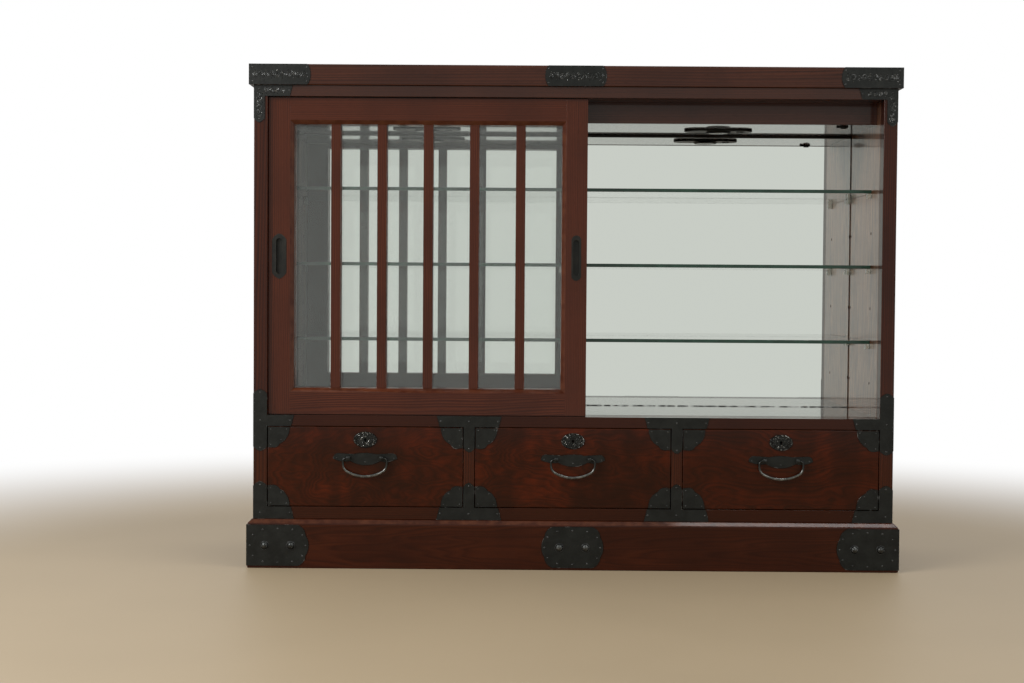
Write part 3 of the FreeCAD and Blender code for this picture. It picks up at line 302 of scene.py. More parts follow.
def glassFinish(name, tint, edge, axis):
    finish, wire, place = newFinish(name)
    flat = abs(normalParts(wire)["xyz".index(axis)])
    film = place.noise(glass["film"], 4.0, 0.6).between(*glass["filmed"])
    clear = wire.node("ShaderNodeBsdfPrincipled", None, {
        "Base Color": (*tint, 1), "Roughness": film * 0.015, "IOR": glass["index"],
        "Transmission Weight": 1.0})
    streak = place.noise(glass["streak"], 3.0).between(*glass["streaked"])
    deepEdge = tuple(part * glass["deep"] for part in edge)
    cut = wire.node("ShaderNodeBsdfPrincipled", None, {
        "Base Color": streak.blend(edge, deepEdge), "Roughness": glass["cutRough"]})
    sheet = wire.node("ShaderNodeMixShader", None, {0: flat.between(*glass["flat"]), 1: cut, 2: clear})
    through = wire.node("ShaderNodeBsdfTransparent", None, {"Color": (*tint, 1)})
    shadow = wire.node("ShaderNodeLightPath", out="Is Shadow Ray")
    mixed = wire.node("ShaderNodeMixShader", None, {0: shadow, 1: sheet, 2: through})
    wire.node("ShaderNodeOutputMaterial", None, {"Surface": mixed})
    return finish


# silvered glass, gone dark in specks along its lower edge
silver = {
    "tone": (0.90, 0.92, 0.90), "dark": (0.03, 0.03, 0.028), "rise": (0.0012, 0.0026), "speck": (70, 420),
    "specks": (0.44, 0.52), "film": 6, "filmed": (0.45, 0.8),
}


def mirrorFinish(name):
    finish, wire, place = newFinish(name)
    x, y, z = place.split()
    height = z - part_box("mirrors")[0].z
    speck = wire.joined(x * silver["speck"][0], y, z * silver["speck"][1]).noise(1.0, 4.0, 0.75)
    foxed = (1 - height.between(*silver["rise"])) * speck.between(*silver["specks"])
    film = place.noise(silver["film"], 4.0).between(*silver["filmed"])
    surface(wire, {
        "Base Color": foxed.blend(silver["tone"], silver["dark"]), "Metallic": 1 - foxed * 0.8,
        "Roughness": film * 0.02 + foxed * 0.4 + 0.005})
    return finish


# moulded plastic, a little rubbed
moulding = {
    "grain": 1500, "relief": (0.12, 0.0002), "patch": 60, "rubbed": (0.4, 0.7), "lift": (1.5, 0.004),
    "edgeReach": 2.0, "rimReach": 5.0, "index": 1.49,
}


def mouldedFinish(name, tone, rough, clear=0.0, edge=None, shine=0.5):
    finish, wire, place = newFinish(name)
    pitted = place.noise(moulding["grain"], 2.0)
    rubbed = place.noise(moulding["patch"], 3.0).between(*moulding["rubbed"])
    lift = tuple(part * moulding["lift"][0] + moulding["lift"][1] for part in tone)
    colour = (rubbed * 0.35 + edgeShare(wire, moulding["edgeReach"]) * 0.3).blend(tone, lift)
    # painted shade: the rounded edges go dark, standing in for the dark outline that refraction gives clear
    # plastic
    if edge:
        colour = edgeShare(wire, moulding["rimReach"]).blend(colour, edge)
    surface(wire, {
        "Base Color": colour, "Roughness": rubbed * 0.12 + rough, "Transmission Weight": clear,
        "IOR": moulding["index"], "Specular IOR Level": shine,
        "Normal": bumped(wire, pitted, *moulding["relief"])})
    return finish


inside = {"spec": 0.25, "coat": 0.84, "coatRough": 0.06}
lining = [(0.235, 0.110, 0.052), (0.142, 0.057, 0.024), (0.058, 0.021, 0.009)]
figured = {
    "light": (0.068, 0.0105, 0.0024), "mid": (0.038, 0.0068, 0.0016), "dark": (0.015, 0.0042, 0.0014),
    "ember": (0.120, 0.0155, 0.0022), "glow": 0.50, "shade": 0.62, "coat": 0.24,
    "wander": 190, "ringGap": 11, "drawn": 3.4, "close": 5.0, "detail": 1.6, "figure": 0.55, "swing": 0.40}
doorWood = {
    "light": (0.088, 0.019, 0.0058), "mid": (0.060, 0.0122, 0.0038), "dark": (0.030, 0.0062, 0.0022),
    "coat": 0.45}
polished = {"wear": 0, "rough": 0.10, "metal": 0.85, "spec": 0.5, "hammer": 0.10}

finishes = {
    "top": woodFinish("lacquerTop", "x", {
        "light": (0.070, 0.018, 0.0072), "mid": (0.046, 0.0112, 0.0045), "ringGap": 6.5, "coat": 0.55,
        "dullUnder": True}),
    # painted light and shade: the head and fascia take a lighter, greyer copy of the board lacquer than the
    # sill and bottom rail
    "boards": woodFinish("lacquerAlong", "x", {
        "light": (0.046, 0.0102, 0.0032), "mid": (0.031, 0.0066, 0.0021), "figure": 0.7, "coatUp": 0.96}),
    "upperBoards": woodFinish("lacquerUpperLit", "x", {
        "light": (0.062, 0.0155, 0.0058), "mid": (0.042, 0.0102, 0.0038), "coat": 0.58, "spec": 0.12}),
    "beads": woodFinish("lacquerBead", "x", {
        "light": (0.019, 0.0115, 0.0045), "mid": (0.0125, 0.0078, 0.003), "dark": (0.006, 0.0038, 0.0015),
        "coat": 0.2}),
    "shelfBoards": woodFinish("lacquerInside", "x", {**inside, "coat": 0.96}),
    "posts": woodFinish("lacquerUpright", "z", {"pith": (60, -900), "ringGap": 5.5, "coat": 0.42}),
    "partition": woodFinish("lacquerPartition", "z", {**inside, "pith": (-300, 90), "wander": 25}),
    "doorRails": woodFinish("lacquerDoorRail", "x", {**doorWood, "pith": (110, 180)}),
    "doorStiles": woodFinish("lacquerDoorStile", "z", {**doorWood, "pith": (40, -1100), "ringGap": 3.8}),
    "sides": woodFinish("lacquerSide", "z", {
        **inside, "pith": (-330, 900), "tilt": 0.05, "wander": 60, "ringGap": 12, "lining": lining,
        "coat": 0.60}),
    "plinth": woodFinish("lacquerPlinth", "x", {
        "pith": (-150, 40), "tilt": 0.05, "wander": 40, "ringGap": 6, "figure": 0.55, "swing": 0.35}),
    "plinthEnds": woodFinish("lacquerPlinthEnd", "y", {
        "pith": (-180, 0), "tilt": 0.05, "wander": 30, "ringGap": 5}),
    "leftFront": woodFinish("figuredLeft", "x", {**figured, "pith": (-120, 205), "tilt": 0.16}),
    "middleFront": woodFinish("figuredMiddle", "x", {**figured, "pith": (-205, 240), "tilt": -0.14}),
    "rightFront": woodFinish("figuredRight", "x", {
        **figured, "pith": (-140, 160), "tilt": 0.11, "glow": 0.22, "shade": 0.5, "swing": 0.5}),
    "paleLong": woodFinish("paleLong", "x", pale),
    "paleDeep": woodFinish("paleDeep", "y", pale),
    "endGrain": woodFinish("paleEnd", "x", {
        **pale, "light": (0.44, 0.29, 0.155), "mid": (0.36, 0.225, 0.115), "dark": (0.22, 0.125, 0.058)}),
    "plainLong": woodFinish("plainLong", "x", plain),
    "plainTall": woodFinish("plainTall", "z", {**plain, "wander": 60, "figure": 0.7, "marks": backNails}),
    "iron": ironFinish("blackIron"),
    "rubbedIron": ironFinish("rubbedIron", {
        "dark": (0.022, 0.023, 0.0225), "light": (0.052, 0.053, 0.052), "wear": 0.2, "rough": 0.26,
        "metal": 0.4, "spec": 0.5}),
    "brightIron": ironFinish("brightIron", {
        **polished, "dark": (0.036, 0.037, 0.0365), "light": (0.110, 0.112, 0.108), "wear": 0.2,
        "rough": 0.08, "metal": 0.8}),
    # painted highlight: bright patches on the bail, most on its lower arc
    "bailIron": ironFinish("bailIron", {
        **polished, "dark": (0.022, 0.0225, 0.021), "light": (0.19, 0.19, 0.18), "metal": 0.75, "spec": 0.6,
        "hammer": 0.16, "patch": 85, "spread": (0.44, 0.60), "rubbedAndLitBelow": (0.218, 0.246)}),
    # painted glints: small bright patches on the lock relief and the vine dots
    "glintPaintedIron": ironFinish("glintPaintedIron", {
        **polished, "dark": (0.016, 0.016, 0.0155), "light": (0.58, 0.58, 0.56), "patch": 190,
        "spread": (0.52, 0.66)}),
    # painted highlight: bright patches along the chased vine lines
    "vineHighlightIron": ironFinish("vineHighlightIron", {
        **polished, "dark": (0.026, 0.027, 0.027), "light": (0.27, 0.275, 0.275), "patch": 150,
        "spread": (0.44, 0.68)}),
    # painted highlight: bright patches on the rims along the plate outlines
    "rimHighlightIron": ironFinish("rimHighlightIron", {
        **polished, "dark": (0.004, 0.0045, 0.004), "light": (0.26, 0.262, 0.25), "rough": 0.26, "metal": 0.5,
        "spec": 0.3, "patch": 42, "spread": (0.54, 0.72)}),
    "brass": ironFinish("darkBrass", {
        "dark": (0.0055, 0.0055, 0.0046), "light": (0.014, 0.0125, 0.0095), "rust": (0.02, 0.014, 0.008),
        "bare": (0.20, 0.15, 0.08), "rough": 0.36, "metal": 0.3, "spec": 0.4}),
    "pane": glassFinish("doorGlass", (0.985, 0.992, 0.988), (0.05, 0.14, 0.10), "y"),
    "shelf": glassFinish("shelfGlass", (0.975, 0.988, 0.980), (0.012, 0.046, 0.028), "z"),
    "mirror": mirrorFinish("silverMirror"),
    # the pegs' dark edge tone is painted shade
    "clearPeg": mouldedFinish("clearPeg", (0.74, 0.73, 0.66), 0.05, 0.88, (0.035, 0.028, 0.020)),
    "black": mouldedFinish("blackMoulding", (0.0055, 0.0055, 0.0042), 0.42, shine=0.18),
    "lens": mouldedFinish("frostedLens", (0.10, 0.10, 0.095), 0.22),
}
print("finishes:", len(finishes))


def each(owners, *names):
    return [owner + name for owner in owners for name in names]


# finish and edge rounding (mm) of each carried-over node
drawers = each(drawerCentres, "_drawer")
dressing = {
    ("top", 2.0): ["top_board"],
    ("upperBoards", 0.9): ["door_head", "light_fascia"],
    ("beads", 0.9): ["mirror_beads"],
    ("boards", 0.9): ["door_sill", "bottom_rail"],
    ("shelfBoards", 0): ["display_ceiling", "display_floor"],
    ("posts", 1.4): ["front_posts"],
    ("posts", 0.9): ["drawer_dividers"],
    ("plinth", 2.4): ["plinth_front"],
    ("plinthEnds", 2.4): ["plinth_sides"],
    ("plainLong", 1.0): ["plinth_back", "case_bottom"],
    ("plainTall", 0.5): ["back_panel"],
    ("plainLong", 0.8): ["drawer_stops"],
    ("doorRails", 0.9): each(doors, "_top_rail", "_bottom_rail"),
    ("doorStiles", 0.9): each(doors, "_stiles", "_bars"),
    ("paleDeep", 0.8): each(drawers, "_sides"),
    ("paleLong", 0.8): each(drawers, "_back", "_bottom"),
    ("iron", 0.35): ["top_board_irons", "frame_irons", "plinth_irons"] + each(drawers, "_irons"),
    ("brightIron", 0): ["plinth_studs"],
    ("brass", 0.3): each(doors, "_pulls"),
    ("pane", 0.3): each(doors, "_glass"),
    ("shelf", 0.5): ["glass_shelves"],
    ("mirror", 0): ["mirrors"],
    ("clearPeg", 2.2): ["shelf_pegs"],
    ("black", 0.8): ["lamp_housings", "lamp_heads", "left_lamp_button", "right_lamp_button"],
}


def soften(piece, width):
    weld = piece.modifiers.new("weld", "WELD")
    weld.merge_threshold = weldGap
    plane = piece.modifiers.new("plane", "DECIMATE")
    plane.decimate_type = "DISSOLVE"
    plane.angle_limit = flatAngle
    edge = piece.modifiers.new("edge", "BEVEL")
    edge.width = width * mm
    edge.segments = 2
    edge.limit_method = "ANGLE"
    edge.angle_limit = sharpAngle
    edge.harden_normals = True


for (finishName, rounding), names in dressing.items():
    for name in names:
        nodes[name].material_slots[0].material = finishes[finishName]
        if rounding:
            soften(nodes[name], rounding)
print("nodes dressed:", sum(len(names) for names in dressing.values()))


def added(piece, body):
    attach(piece, body)


def meshPiece(name, mesh):
    piece = bpy.data.objects.new(name, mesh)
    scene.collection.objects.link(piece)
    return piece


def plainMesh(name, shape, *finishList):
    mesh = bpy.data.meshes.new(name)
    shape.to_mesh(mesh)
    shape.free()
    for finish in finishList:
        mesh.materials.append(finish)
    return mesh


# boards with holes keep the holes sharp and get their long edges rounded
drilledBoards = {
    "left_drawer_front": ("leftFront", "left_drawer", 2.2),
    "middle_drawer_front": ("middleFront", "middle_drawer", 2.2),
    "right_drawer_front": ("rightFront", "right_drawer", 2.2),
    "left_side_panel": ("sides", "case", 1.2), "right_side_panel": ("sides", "case", 1.2),
    "centre_partition": ("partition", "case", 3.0),
}
shortestRounded = 20.0


def roundedBoard(name, finishName, body, rounding):
    shape = bmesh.new()
    shape.from_mesh(nodes[name].data)
    bmesh.ops.remove_doubles(shape, verts=shape.verts, dist=weldGap)
    bmesh.ops.dissolve_limit(shape, angle_limit=flatAngle, verts=shape.verts, edges=shape.edges)
    longEdges = [edge for edge in shape.edges if edge.calc_length() > shortestRounded * mm
                 and edge.is_manifold and edge.calc_face_angle_signed() > sharpAngle]
    bmesh.ops.bevel(shape, geom=longEdges, offset=rounding * mm, segments=3, profile=0.5,
                    affect="EDGES", clamp_overlap=True)
    for edge in shape.edges:
        edge.smooth = edge.is_manifold and edge.calc_face_angle() < creaseAngle
    for face in shape.faces:
        face.smooth = True
    piece = meshPiece(name + "_board", plainMesh(name + "_board", shape, finishes[finishName]))
    even = piece.modifiers.new("even", "WEIGHTED_NORMAL")
    even.keep_sharp = True
    added(piece, body)
    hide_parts(name)


for name, (finishName, body, rounding) in drilledBoards.items():
    roundedBoard(name, finishName, body, rounding)
print("drilled boards rounded:", len(drilledBoards))


# Geometry Nodes: a tree is given points or lines and named sizes, and leaves a plain mesh
def newTree(name, sizes):
    tree = bpy.data.node_groups.new(name, "GeometryNodeTree")
    tree.interface.new_socket("Mesh", in_out="INPUT", socket_type="NodeSocketGeometry")
    for label, kind in sizes.items():
        tree.interface.new_socket(label, in_out="INPUT", socket_type="NodeSocket" + kind)
    tree.interface.new_socket("Mesh", in_out="OUTPUT", socket_type="NodeSocketGeometry")
    entry = tree.nodes.new("NodeGroupInput")
    return tree, {socket.name: Wire(tree, socket) for socket in entry.outputs if socket.name}


def closeTree(shape, finish):
    whole = shape.node("GeometryNodeRealizeInstances", None, {0: shape})
    smooth = whole.node("GeometryNodeSetShadeSmooth", None, {"Geometry": whole})
    dressed = smooth.node("GeometryNodeSetMaterial", None, {"Geometry": smooth, "Material": finish})
    dressed.node("NodeGroupOutput", None, {0: dressed})


def nailTree():
    tree, put = newTree("nails", {"Radius": "Float", "Rise": "Float", "Turn": "Vector", "Finish": "Material"})
    ball = put["Mesh"].node("GeometryNodeMeshUVSphere", None, {"Segments": 10, "Rings": 6, "Radius": 1.0})
    head = ball.node("GeometryNodeTransform", None, {
        "Geometry": ball, "Scale": ball.joined(put["Radius"], put["Radius"], put["Rise"])})
    turn = head.node("FunctionNodeEulerToRotation", None, {0: put["Turn"]})
    closeTree(head.node("GeometryNodeInstanceOnPoints", None, {
        "Points": put["Mesh"], "Instance": head, "Rotation": turn}), put["Finish"])
    return tree


def rodTree():
    tree, put = newTree("rods", {"Ends": "Float", "Middle": "Float", "Sides": "Int", "Finish": "Material"})
    path = put["Mesh"].node("GeometryNodeMeshToCurve", None, {0: put["Mesh"]})
    along = path.node("GeometryNodeSplineParameter", out="Factor")
    swell = along * (1 - along) * 4
    ring = path.node("GeometryNodeCurvePrimitiveCircle", None, {"Resolution": put["Sides"], "Radius": 1.0})
    closeTree(path.node("GeometryNodeCurveToMesh", None, {
        "Curve": path, "Profile Curve": ring, "Fill Caps": True,
        "Scale": put["Ends"] + (put["Middle"] - put["Ends"]) * swell}), put["Finish"])
    return tree


def beadTree():
    tree, put = newTree("beadOvals", {
        "Half Width": "Float", "Half Height": "Float", "Count": "Int", "Reach": "Float", "Breadth": "Float",
        "Rise": "Float", "Turn": "Vector", "Finish": "Material"})
    ring = put["Mesh"].node("GeometryNodeCurvePrimitiveCircle", None, {
        "Resolution": put["Count"], "Radius": 1.0})
    oval = ring.node("GeometryNodeTransform", None, {
        "Geometry": ring, "Scale": ring.joined(put["Half Width"], put["Half Height"], 1.0)})
    outward = oval.node("FunctionNodeAlignRotationToVector", {"axis": "X", "pivot_axis": "Z"}, {
        "Vector": oval.node("GeometryNodeInputPosition")})
    ball = oval.node("GeometryNodeMeshUVSphere", None, {"Segments": 8, "Rings": 5, "Radius": 1.0})
    bead = ball.node("GeometryNodeTransform", None, {
        "Geometry": ball, "Scale": ball.joined(put["Reach"], put["Breadth"], put["Rise"])})
    beads = oval.node("GeometryNodeInstanceOnPoints", None, {
        "Points": oval, "Instance": bead, "Rotation": outward})
    turn = beads.node("FunctionNodeEulerToRotation", None, {0: put["Turn"]})
    closeTree(beads.node("GeometryNodeInstanceOnPoints", None, {
        "Points": put["Mesh"], "Instance": beads, "Rotation": turn}), put["Finish"])
    return tree


trees = {"nails": nailTree(), "rods": rodTree(), "beads": beadTree()}


def grown(name, treeName, mesh, sizes):
    tree = trees[treeName]
    seed = meshPiece(name + "Seed", mesh)
    grow = seed.modifiers.new("grow", "NODES")
    grow.node_group = tree
    for socket in tree.interface.items_tree:
        if socket.in_out == "INPUT" and socket.name in sizes:
            grow[socket.identifier] = sizes[socket.name]
    graph = bpy.context.evaluated_depsgraph_get()
    made = bpy.data.meshes.new_from_object(seed.evaluated_get(graph), depsgraph=graph)
    made.name = name
    seed.modifiers.remove(grow)
    bpy.data.objects.remove(seed)
    return made


def pointMesh(points):
    mesh = bpy.data.meshes.new("points")
    mesh.from_pydata([Vector(point) * mm for point in points], [], [])
    return mesh


def lineMesh(lines, closed=False):
    spots, edges = [], []
    for line in lines:
        first = len(spots)
        spots += [Vector(spot) * mm for spot in line]
        edges += [(first + k, first + k + 1) for k in range(len(line) - 1)]
        if closed:
            edges.append((len(spots) - 1, first))
    mesh = bpy.data.meshes.new("lines")
    mesh.from_pydata(spots, edges, [])
    return mesh


def rods(name, lines, radii, sides, finishName, closed=False):
    ends, middle = radii
    return grown(name, "rods", lineMesh(lines, closed), {
        "Ends": ends * mm, "Middle": middle * mm, "Sides": sides, "Finish": finishes[finishName]})


def nailHeads(name, points, size, word, finishName):
    radius, rise = size
    return grown(name, "nails", pointMesh(points), {
        "Radius": radius * mm, "Rise": rise * mm, "Turn": facing[word], "Finish": finishes[finishName]})


def around(steps):
    return [2 * math.pi * k / steps for k in range(steps)]


def oval(centre, halfWidth, halfHeight, steps):
    return [(centre[0] + halfWidth * math.cos(turn), centre[1], centre[2] + halfHeight * math.sin(turn))
            for turn in around(steps)]


def gathered(name, meshes):  # several plain meshes of one body made one piece
    whole = bmesh.new()
    finishList = []
    for mesh in meshes:
        finish = mesh.materials[-1]  # grown meshes can carry an empty slot before it
        if finish not in finishList:
            finishList.append(finish)
        before = len(whole.faces)
        whole.from_mesh(mesh)
        whole.faces.ensure_lookup_table()
        for face in whole.faces[before:]:
            face.material_index = finishList.index(finish)
    return meshPiece(name, plainMesh(name, whole, *finishList))


facing = {"front": (math.pi / 2, 0, 0), "left": (0, -math.pi / 2, 0), "right": (0, math.pi / 2, 0)}
handed = {"left": -1, "right": 1}
plates = {"frame": -189.0, "lock": -190.0, "top": -196.0, "plinth": -201.5, "topSide": 746.5}
ironCentres = {"plinth": [-677.5, 0, 677.5], "top": [-676.0, 0, 676.0], "tee": [-239, 239]}
ironUp = {"plinth": 52.5, "top": 1132.5, "head": 1096.5}

# nails of the case irons: places across and up the front, in millimetres
nail = {
    "size": (2.3, 1.1), "small": (1.7, 0.9), "endDepth": (-188, -105), "endUp": (1117, 1148),
    "tee": [(-66, 340), (0, 340), (66, 340), (0, 277), (-66, 127), (0, 127), (66, 127), (0, 191)],
    "post": [(720.2, 404), (720.2, 340), (720.2, 277), (651.5, 340), (720.2, 191), (720.2, 127), (651.5, 127),
             (723.7, 1099), (655, 1096.5), (723.7, 1031)],
    "plinth": [(0, 39), (34, 37), (57, 24), (64, 0), (57, -24), (34, -37), (0, -39), (-34, -37), (-57, -24),
               (-64, 0), (-57, 24), (-34, 37)],
    "top": [(-62, 16), (-62, -16), (62, 16), (62, -16)],
}


def caseNails():
    front = [(centre + across, plates["frame"], up)
             for centre in ironCentres["tee"] for across, up in nail["tee"]]
    front += [(side * across, plates["frame"], up) for side in handed.values() for across, up in nail["post"]]
    for word in ("plinth", "top"):
        front += [(centre + across, plates[word], ironUp[word] + up)
                  for centre in ironCentres[word] for across, up in nail[word]]
    meshes = [nailHeads("frontNails", front, nail["size"], "front", "rubbedIron")]
    for word, side in handed.items():
        corners = [(side * plates["topSide"], depth, up)
                   for depth in nail["endDepth"] for up in nail["endUp"]]
        meshes.append(nailHeads(word + "Nails", corners, nail["size"], word, "rubbedIron"))
    added(gathered("caseNails", meshes), "case")


# chased vine: a wave with a curl in each hollow and dots between; a run is its length, height and waves
vine = {
    "line": (0.32, 0.60), "dot": (1.15, 0.8), "waveSteps": 16, "swing": 0.24, "curl": (0.30, 0.22),
    "curlOff": 0.14, "curlTurn": 3.6, "curlSteps": 18, "dots": (0.15, 0.47, 0.36),
    "strap": (126, 19, 5), "strapStart": -63,
    "arm": (50, 15, 2), "armStart": 664, "leg": (58, 15, 3), "legStart": (723.7, 1093), "end": (72, 19, 3),
    "endStart": -182,
}


def vineLines(length, height, waves):
    steps = vine["waveSteps"]
    stem = [(length * k / (waves * steps), vine["swing"] * height * math.sin(2 * math.pi * k / steps))
            for k in range(waves * steps + 1)]
    lines, dots = [stem], []
    wide, taper = vine["curl"]
    inner, outer, between = vine["dots"]
    for k in range(2 * waves):
        side = 1 if k % 2 == 0 else -1
        middle = (k + 0.5) * length / (2 * waves)
        curl = []
        for step in range(vine["curlSteps"] + 1):
            share = step / vine["curlSteps"]
            reach = height * (wide - taper * share)
            angle = side * (math.pi / 2 - vine["curlTurn"] * math.pi * share)
            curl.append((middle + reach * math.cos(angle),
                         side * -vine["curlOff"] * height + reach * math.sin(angle)))
        lines.append(curl)
        dots += [(middle, -side * inner * height), (middle, side * outer * height),
                 (middle + length / (4 * waves), side * between * height)]
    return lines, dots


def caseVines():
    lines, dots = {word: [] for word in facing}, {word: [] for word in facing}

    def engrave(word, start, along, across, run):
        drawn, marks = vineLines(*run)
        start, along, across = Vector(start), Vector(along), Vector(across)
        lines[word] += [[start + along * s + across * t for s, t in line] for line in drawn]
        dots[word] += [start + along * s + across * t for s, t in marks]

    right, back, up, down = (1, 0, 0), (0, 1, 0), (0, 0, 1), (0, 0, -1)
    legAcross, legUp = vine["legStart"]
    for centre in ironCentres["top"]:
        strapStart = (centre + vine["strapStart"], plates["top"], ironUp["top"])
        engrave("front", strapStart, right, up, vine["strap"])
    for word, side in handed.items():
        armStart = (side * vine["armStart"], plates["frame"], ironUp["head"])
        engrave("front", armStart, (side, 0, 0), up, vine["arm"])
        engrave("front", (side * legAcross, plates["frame"], legUp), down, right, vine["leg"])
        engrave(word, (side * plates["topSide"], vine["endStart"], ironUp["top"]), back, up, vine["end"])
    meshes = []
    for word in facing:
        meshes.append(rods(word + "Vines", lines[word], vine["line"], 5, "vineHighlightIron"))
        meshes.append(nailHeads(word + "Dots", dots[word], vine["dot"], word, "glintPaintedIron"))
    added(gathered("caseVines", meshes), "case")


# fluted studs of the plinth: ribs over the dome and a collar round its foot
stud = {
    "apart": 30, "radius": 8.5, "rise": 7.0, "ribs": 11, "rib": (0.25, 0.85), "ribSteps": 7, "crown": 26,
    "fall": 62, "swirl": 0.35, "collar": 9.6, "collarLine": (0.8, 0.8), "collarSteps": 28,
}


def studDetail():
    ribs, collars = [], []
    steps, foot, level = stud["ribSteps"], plates["plinth"], ironUp["plinth"]
    for middle in ironCentres["plinth"]:
        for centre in (middle - stud["apart"], middle + stud["apart"]):
            for spin in around(stud["ribs"]):
                rib = []
                for step in range(steps + 1):
                    fall = math.radians(stud["crown"] + stud["fall"] * step / steps)
                    out = stud["radius"] * math.sin(fall)
                    swirl = spin + stud["swirl"] * step / steps
                    rib.append((centre + out * math.cos(swirl), foot - stud["rise"] * math.cos(fall),
                                level + out * math.sin(swirl)))
                ribs.append(rib)
            collars.append(oval((centre, foot, level), stud["collar"], stud["collar"], stud["collarSteps"]))
    added(gathered("studDetail", [
        rods("studRibs", ribs, stud["rib"], 6, "brightIron"),
        rods("studCollars", collars, stud["collarLine"], 8, "rubbedIron", True)]), "case")


# rims: a fine round along the front outline of each plate, but not round the keyholes and handle eyes; its
# bright patches are painted highlights where light catches the plate edges
rim = {
    "radius": 0.32, "keyhole": 10, "eyeRoom": 1, "frontTurn": -0.95, "sideTurn": 0.5,
    "case": ["frame_irons", "plinth_irons", "top_board_irons"],
}


def plateRims(name, ironNames, foremost, keyhole=None):
    shape = bmesh.new()
    for ironName in ironNames:
        shape.from_mesh(nodes[ironName].data)
    bmesh.ops.remove_doubles(shape, verts=shape.verts, dist=weldGap)
    lines = []
    for edge in shape.edges:
        turns = sorted(face.normal.y for face in edge.link_faces)
        spot = edge.verts[0].co
        outline = len(turns) == 2 and turns[0] < rim["frontTurn"] and abs(turns[1]) < rim["sideTurn"]
        atKeyhole = keyhole and math.dist(keyhole, (spot.x / mm, spot.z / mm)) < rim["keyhole"]
        atEye = spot.y < (foremost - rim["eyeRoom"]) * mm
        if outline and not atKeyhole and not atEye:
            lines.append(tuple(corner.index for corner in edge.verts))
    inset = rim["radius"] * mm
    spots = [[min(max(value, low + inset), high - inset) for value, low, high in zip(corner.co, *cadBox)]
             for corner in shape.verts]
    shape.free()
    used = sorted({spot for line in lines for spot in line})
    mesh = bpy.data.meshes.new("outline")
    mesh.from_pydata([spots[spot] for spot in used], [(used.index(a), used.index(b)) for a, b in lines], [])
    return grown(name, "rods", mesh, {
        "Ends": inset, "Middle": inset, "Sides": 6, "Finish": finishes["rimHighlightIron"]})


caseNails()
caseVines()
studDetail()
added(gathered("caseRims", [plateRims("caseRims", rim["case"], plates["plinth"])]), "case")
print("case irons finished")

# lock plate relief, corner nails and the hanging bail of each drawer
lock = {
    "up": 297, "ovals": [(25.2, 16.8, 0.7), (9.6, 7.2, 0.9)], "ovalSteps": 44,
    "scrolls": 12, "scroll": (0.35, 0.95), "scrollOval": (20.2, 12.4), "curl": 3.1, "curlTaper": 0.75,
    "curlTurn": 2.6, "curlSteps": 14, "beads": 16, "beadOval": (14.2, 9.6), "bead": 1.1, "beadRise": 1.0,
}
drawerNail = {
    "half": 224, "levels": ((1, 143.5), (-1, 325.0)), "corner": [(43, 5), (6.5, 5.5), (6.5, 41), (31, 30)],
    "plate": [(-66, 254), (66, 254), (0, 245.5)],
}
bail = {
    "pivotUp": 255, "pivotOut": -198, "start": 42.3, "tuck": 4.5, "shoulder": 8, "fall": 6, "knee": 20,
    "drop": 42, "line": (2.1, 3.3), "bendSteps": 8, "sweepSteps": 10,
}


def lockRelief(centre):
    middle = (centre, plates["lock"], lock["up"])
    meshes = []
    for wide, high, thick in lock["ovals"]:
        ring = oval(middle, wide, high, lock["ovalSteps"])
        meshes.append(rods("lockOval", [ring], (thick, thick), 6, "glintPaintedIron", True))
    scrolls, steps = [], lock["curlSteps"]
    for k in range(lock["scrolls"]):
        spot = 2 * math.pi * (k + 0.5) / lock["scrolls"]
        across = centre + lock["scrollOval"][0] * math.cos(spot)
        up = lock["up"] + lock["scrollOval"][1] * math.sin(spot)
        curl = []
        for step in range(steps + 1):
            reach = lock["curl"] * (1 - lock["curlTaper"] * step / steps)
            turn = spot + lock["curlTurn"] * math.pi * step / steps
            curl.append((across + reach * math.cos(turn), plates["lock"], up + reach * math.sin(turn)))
        scrolls.append(curl)
    meshes.append(rods("lockScrolls", scrolls, lock["scroll"], 5, "glintPaintedIron"))
    meshes.append(grown("lockBeads", "beads", pointMesh([middle]), {
        "Half Width": lock["beadOval"][0] * mm, "Half Height": lock["beadOval"][1] * mm,
        "Count": lock["beads"], "Reach": lock["bead"] * mm, "Breadth": lock["bead"] * mm,
        "Rise": lock["beadRise"] * mm, "Turn": facing["front"], "Finish": finishes["rubbedIron"]}))
    return meshes


def drawerNails(centre):
    spots = [(centre + side * (drawerNail["half"] - along), plates["frame"], level + up * rise)
             for side in handed.values() for up, level in drawerNail["levels"]
             for along, rise in drawerNail["corner"]]
    spots += [(centre + across, plates["frame"], up) for across, up in drawerNail["plate"]]
    return nailHeads("drawerNails", spots, nail["small"], "front", "rubbedIron")


def arcPoints(centre, radius, first, last, steps):
    turns = [math.radians(first + (last - first) * k / steps) for k in range(steps + 1)]
    return [(centre[0] + radius * math.cos(turn), centre[1] + radius * math.sin(turn)) for turn in turns]


def bailLine(centre):  # shoulder, fall, knee and low sweep, each a tangent to the next
    start, shoulder, knee, bend = [bail[key] for key in ("start", "shoulder", "knee", "bendSteps")]
    out, low = start + shoulder, -shoulder - bail["fall"]
    inset, depth = out - knee, bail["drop"] + low
    sweep = (inset ** 2 + depth ** 2 - knee ** 2) / (2 * (depth - knee))
    turn = math.degrees(math.atan2(depth - sweep, inset))
    half = [(start - bail["tuck"], 0)] + arcPoints((start, -shoulder), shoulder, 90, 0, bend)
    half += arcPoints((inset, low), knee, 0, turn, bend)
    half += arcPoints((0, sweep - bail["drop"]), sweep, turn, -90, bail["sweepSteps"])[1:]
    whole = [(-u, v) for u, v in half] + list(reversed(half[:-1]))
    return [(centre + u, bail["pivotOut"], bail["pivotUp"] + v) for u, v in whole]


